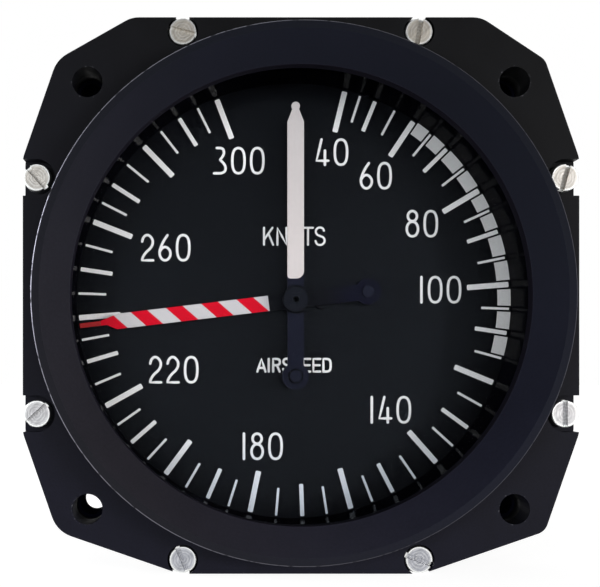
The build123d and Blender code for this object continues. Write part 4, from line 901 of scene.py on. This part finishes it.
class AIRSPEED_OT_painted_hands(Operator):
    """Paint the white airspeed hand and the striped limit hand"""

    bl_idname = "airspeed.painted_hands"
    bl_label = "Painted Hands"

    def execute(self, context):
        sizes, colours = context.scene.airspeed_hands, context.scene.airspeed_colours
        white = Finish("airspeed_hand_paint", Specular_IOR_Level=0.1, Specular_Tint=BLUISH)
        tree = white.tree
        axes = split(tree, white.place)
        # The white paint is a long box with its two lower corners rounded, the right one more
        right = maths(tree, "GREATER_THAN", axes["X"], 0.0)
        corner = remap(tree, right, 0.0, 1.0, sizes.white_corner, sizes.white_corner_right)
        half_width = (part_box("airspeed_hub")[1][0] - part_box("airspeed_hub")[0][0]) * BLADE_TO_HUB
        reach = minus(tree, half_width, corner)
        aside = highest(tree, minus(tree, maths(tree, "ABSOLUTE", axes["X"]), reach), 0.0)
        below = minus(tree, plus(tree, corner, sizes.white_start), axes["Z"])
        blade = maths(tree, "LESS_THAN", hypotenuse(tree, aside, highest(tree, below, 0.0)), corner)
        # The paint turns greyer towards the tip
        greyer_to_tip = mix(tree, remap(tree, axes["Z"], 8 * MM, 30 * MM), colours.hand_white, colours.hand_tip)
        white.grained(mix(tree, blade, colours.black_brass, greyer_to_tip), 2200.0, 0.03, *SATIN, 0.1, 1e-5)
        # Painted shadow: the hand is darkened round the hub and round the rivet in its tail
        from_hub, _ = axis_distance(tree, white.place)
        from_rivet, _ = axis_distance(tree, white.place, 0.0, -AIRSPEED_TAIL)
        hub_shadow = within(tree, from_hub, 2.28, 0.08, 0.8)
        white.painted_shade(highest(tree, hub_shadow, within(tree, from_rivet, 1.2, 0.04, 0.9)))
        dress(white, "airspeed_hand")

        striped = Finish("limit_hand_paint", Specular_IOR_Level=0.04, Specular_Tint=BLUISH)
        tree = striped.tree
        turned = {"Vector": striped.place, "Rotation": (0, math.radians(-LIMIT_REST), 0)}
        axes = split(tree, node(tree, "ShaderNodeMapping", turned).outputs[0])
        # Along the hand, as if it pointed straight up
        slanted = minus(tree, axes["Z"], times(tree, axes["X"], sizes.stripe_slant))
        turns = maths(tree, "DIVIDE", minus(tree, slanted, sizes.first_red), sizes.stripe_pitch)
        in_stripe = maths(tree, "LESS_THAN", maths(tree, "FLOORED_MODULO", turns, 1.0), sizes.stripe_share)
        red = highest(tree, in_stripe, maths(tree, "GREATER_THAN", slanted, sizes.last_red))
        painted = mix(tree, red, colours.stripe_white, colours.stripe_red)
        tip = maths(tree, "GREATER_THAN", axes["Z"], sizes.tip_start)
        painted = mix(tree, tip, painted, colours.tip_red)
        started = maths(tree, "GREATER_THAN", axes["Z"], sizes.stripe_start)
        plain = mix(tree, remap(tree, axes["Z"], -9 * MM, -5 * MM), colours.black_brass, colours.bare_tail)
        striped.grained(mix(tree, started, plain, painted), 2200.0, 0.03, *SATIN, 0.1, 1e-5)
        dress(striped, "limit_hand")
        return {"FINISHED"}


# ------------------------------ studio


def aimed(name, location, size, power, colour):
    """A soft rectangular lamp that looks at the middle of the instrument's front."""
    data = bpy.data.lights.new(name, "AREA")
    data.shape = "RECTANGLE"
    data.size, data.size_y = size
    data.energy = power
    data.color = colour
    lamp = bpy.data.objects.new(name, data)
    lamp.location = location
    lamp.rotation_euler = (Vector() - lamp.location).to_track_quat("-Z", "Y").to_euler()
    bpy.context.scene.collection.objects.link(lamp)


# name, place, size, power and colour
LAMPS = (
    ("key_softbox", (0.62, -0.58, 0.06), (0.45, 0.17), 4.9, (1.0, 0.97, 0.95)),
    ("left_fill", (-0.5, -0.7, 0.06), (0.4, 0.17), 2.6, (0.95, 0.98, 1.0)),
    ("left_strip", (-0.6, 0.09, 0.08), (0.14, 0.5), 2.2, (0.95, 0.95, 1.0)),
    ("top_softbox", (0.0, 0.1, 0.8), (0.6, 0.4), 0.8, (1.0, 1.0, 1.0)),
)
CAMERA = (-15.2, -165.0, -11.2)  # the photographer's place, in mm: a little left of the centre and below it


def seen_white(tree):
    """One for the rays that should see a white floor: camera, glossy and transmission rays."""
    path = tree.nodes.new("ShaderNodeLightPath").outputs
    total = highest(tree, path["Is Camera Ray"], path["Is Glossy Ray"])
    return highest(tree, total, path["Is Transmission Ray"])


class AIRSPEED_OT_stage(Operator):
    """Set the floor, background, lamps and camera"""

    bl_idname = "airspeed.stage"
    bl_label = "Studio"

    def execute(self, context):
        scene = context.scene
        floor_look = Finish("studio_floor", Specular_IOR_Level=0.0)
        tree = floor_look.tree
        floor_look.grained((0.55, 0.55, 0.55), 60.0, 0.01, 0.9, 0.02, 0.0, 1e-5)
        axes = split(tree, floor_look.place)
        away = plus(tree, maths(tree, "ABSOLUTE", axes["X"]), maths(tree, "ABSOLUTE", axes["Y"]))
        strength = remap(tree, away, 0.25, 1.2, 0.91, 1.0)
        glow = node(tree, "ShaderNodeEmission", {"Color": (1, 1, 1), "Strength": strength}).outputs[0]
        pale = node(tree, "ShaderNodeBsdfDiffuse", {"Color": (0.33, 0.33, 0.33)}).outputs[0]
        floor_look.blended(seen_white(tree), node(tree, "ShaderNodeAddShader", {0: glow, 1: pale}).outputs[0])
        bm = bmesh.new()
        bmesh.ops.create_circle(bm, cap_ends=True, segments=64, radius=2.5)
        bmesh.ops.translate(bm, verts=bm.verts, vec=(0, 0, FLOOR - 0.00002))
        mesh = bpy.data.meshes.new("studio_floor")
        bm.to_mesh(mesh)
        bm.free()
        mesh.materials.append(floor_look.material)
        floor = bpy.data.objects.new("studio_floor", mesh)
        scene.collection.objects.link(floor)

        world = bpy.data.worlds.new("studio_white")
        world.use_nodes = True
        scene.world = world
        sky = world.node_tree
        toward = sky.nodes.new("ShaderNodeTexCoord").outputs["Generated"]
        axes = split(sky, toward)
        # Around the camera, near and below the horizon, and beyond the instrument
        front = remap(sky, axes["Y"], -0.82, -0.98, smooth=True)
        low = remap(sky, axes["Z"], 0.27, 0.14, smooth=True)
        behind = remap(sky, axes["Y"], -0.35, 0.1, 0.03, 1.0, smooth=True)
        # The camera sees white, a mirror sees white behind and low, and the rest is lit by a panel in front
        path = sky.nodes.new("ShaderNodeLightPath").outputs
        bounced = maths(sky, "GREATER_THAN", path["Glossy Depth"], 0.5)
        bounced = times(sky, bounced, minus(sky, 1.0, path["Is Diffuse Ray"]))
        seen = highest(sky, path["Is Camera Ray"], path["Is Transmission Ray"])
        seen = times(sky, seen, minus(sky, 1.0, bounced))
        mirrored = times(sky, bounced, highest(sky, behind, low))
        plain = minus(sky, 1.0, highest(sky, seen, bounced))
        panel = times(sky, front, remap(sky, low, 0.0, 1.0, 0.6, 3.6))
        lighting = times(sky, plain, plus(sky, 0.12, panel))
        strength = highest(sky, seen, highest(sky, mirrored, lighting))
        back = sky.nodes["Background"].inputs
        fill(sky, back["Color"], (1, 1, 1))
        fill(sky, back["Strength"], strength)

        for lamp in LAMPS:
            aimed(*lamp)

        data = bpy.data.cameras.new("photograph_view")
        data.sensor_width = 36.0
        data.lens = 67.31
        data.shift_x = 0.1705
        data.shift_y = 0.1303
        data.clip_start = 0.01
        camera = bpy.data.objects.new("photograph_view", data)
        camera.location = Vector(CAMERA) * MM
        camera.rotation_euler = (math.pi / 2, 0, 0)
        scene.collection.objects.link(camera)
        scene.camera = camera
        scene.view_settings.view_transform = "Standard"
        return {"FINISHED"}


# ------------------------------ panel and registration


class AIRSPEED_PT_panel(Panel):
    """Lists the steps that dress the airspeed indicator"""

    bl_idname = "AIRSPEED_PT_panel"
    bl_label = "Airspeed Indicator"
    bl_space_type = "VIEW_3D"
    bl_region_type = "UI"
    bl_category = "Airspeed"

    def draw(self, context):
        column = self.layout.column(align=True)
        for operator in STEPS:
            column.operator(operator.bl_idname)


STEPS = (
    AIRSPEED_OT_black_parts, AIRSPEED_OT_cover_glass, AIRSPEED_OT_metal_parts, AIRSPEED_OT_bezel_screws,
    AIRSPEED_OT_scale_marks, AIRSPEED_OT_speed_band, AIRSPEED_OT_numerals, AIRSPEED_OT_words,
    AIRSPEED_OT_painted_hands, AIRSPEED_OT_stage,
)
CLASSES = (ScaleSizes, HandSizes, Colours, *STEPS, AIRSPEED_PT_panel)


def register():
    for each in CLASSES:
        bpy.utils.register_class(each)
    bpy.types.Scene.airspeed_scale = PointerProperty(type=ScaleSizes)
    bpy.types.Scene.airspeed_hands = PointerProperty(type=HandSizes)
    bpy.types.Scene.airspeed_colours = PointerProperty(type=Colours)


def unregister():
    del bpy.types.Scene.airspeed_colours
    del bpy.types.Scene.airspeed_hands
    del bpy.types.Scene.airspeed_scale
    for each in reversed(CLASSES):
        bpy.utils.unregister_class(each)


def main():
    register()
    for step in STEPS:
        getattr(bpy.ops.airspeed, step.bl_idname.split(".")[1])()


if __name__ == "__main__":
    main()
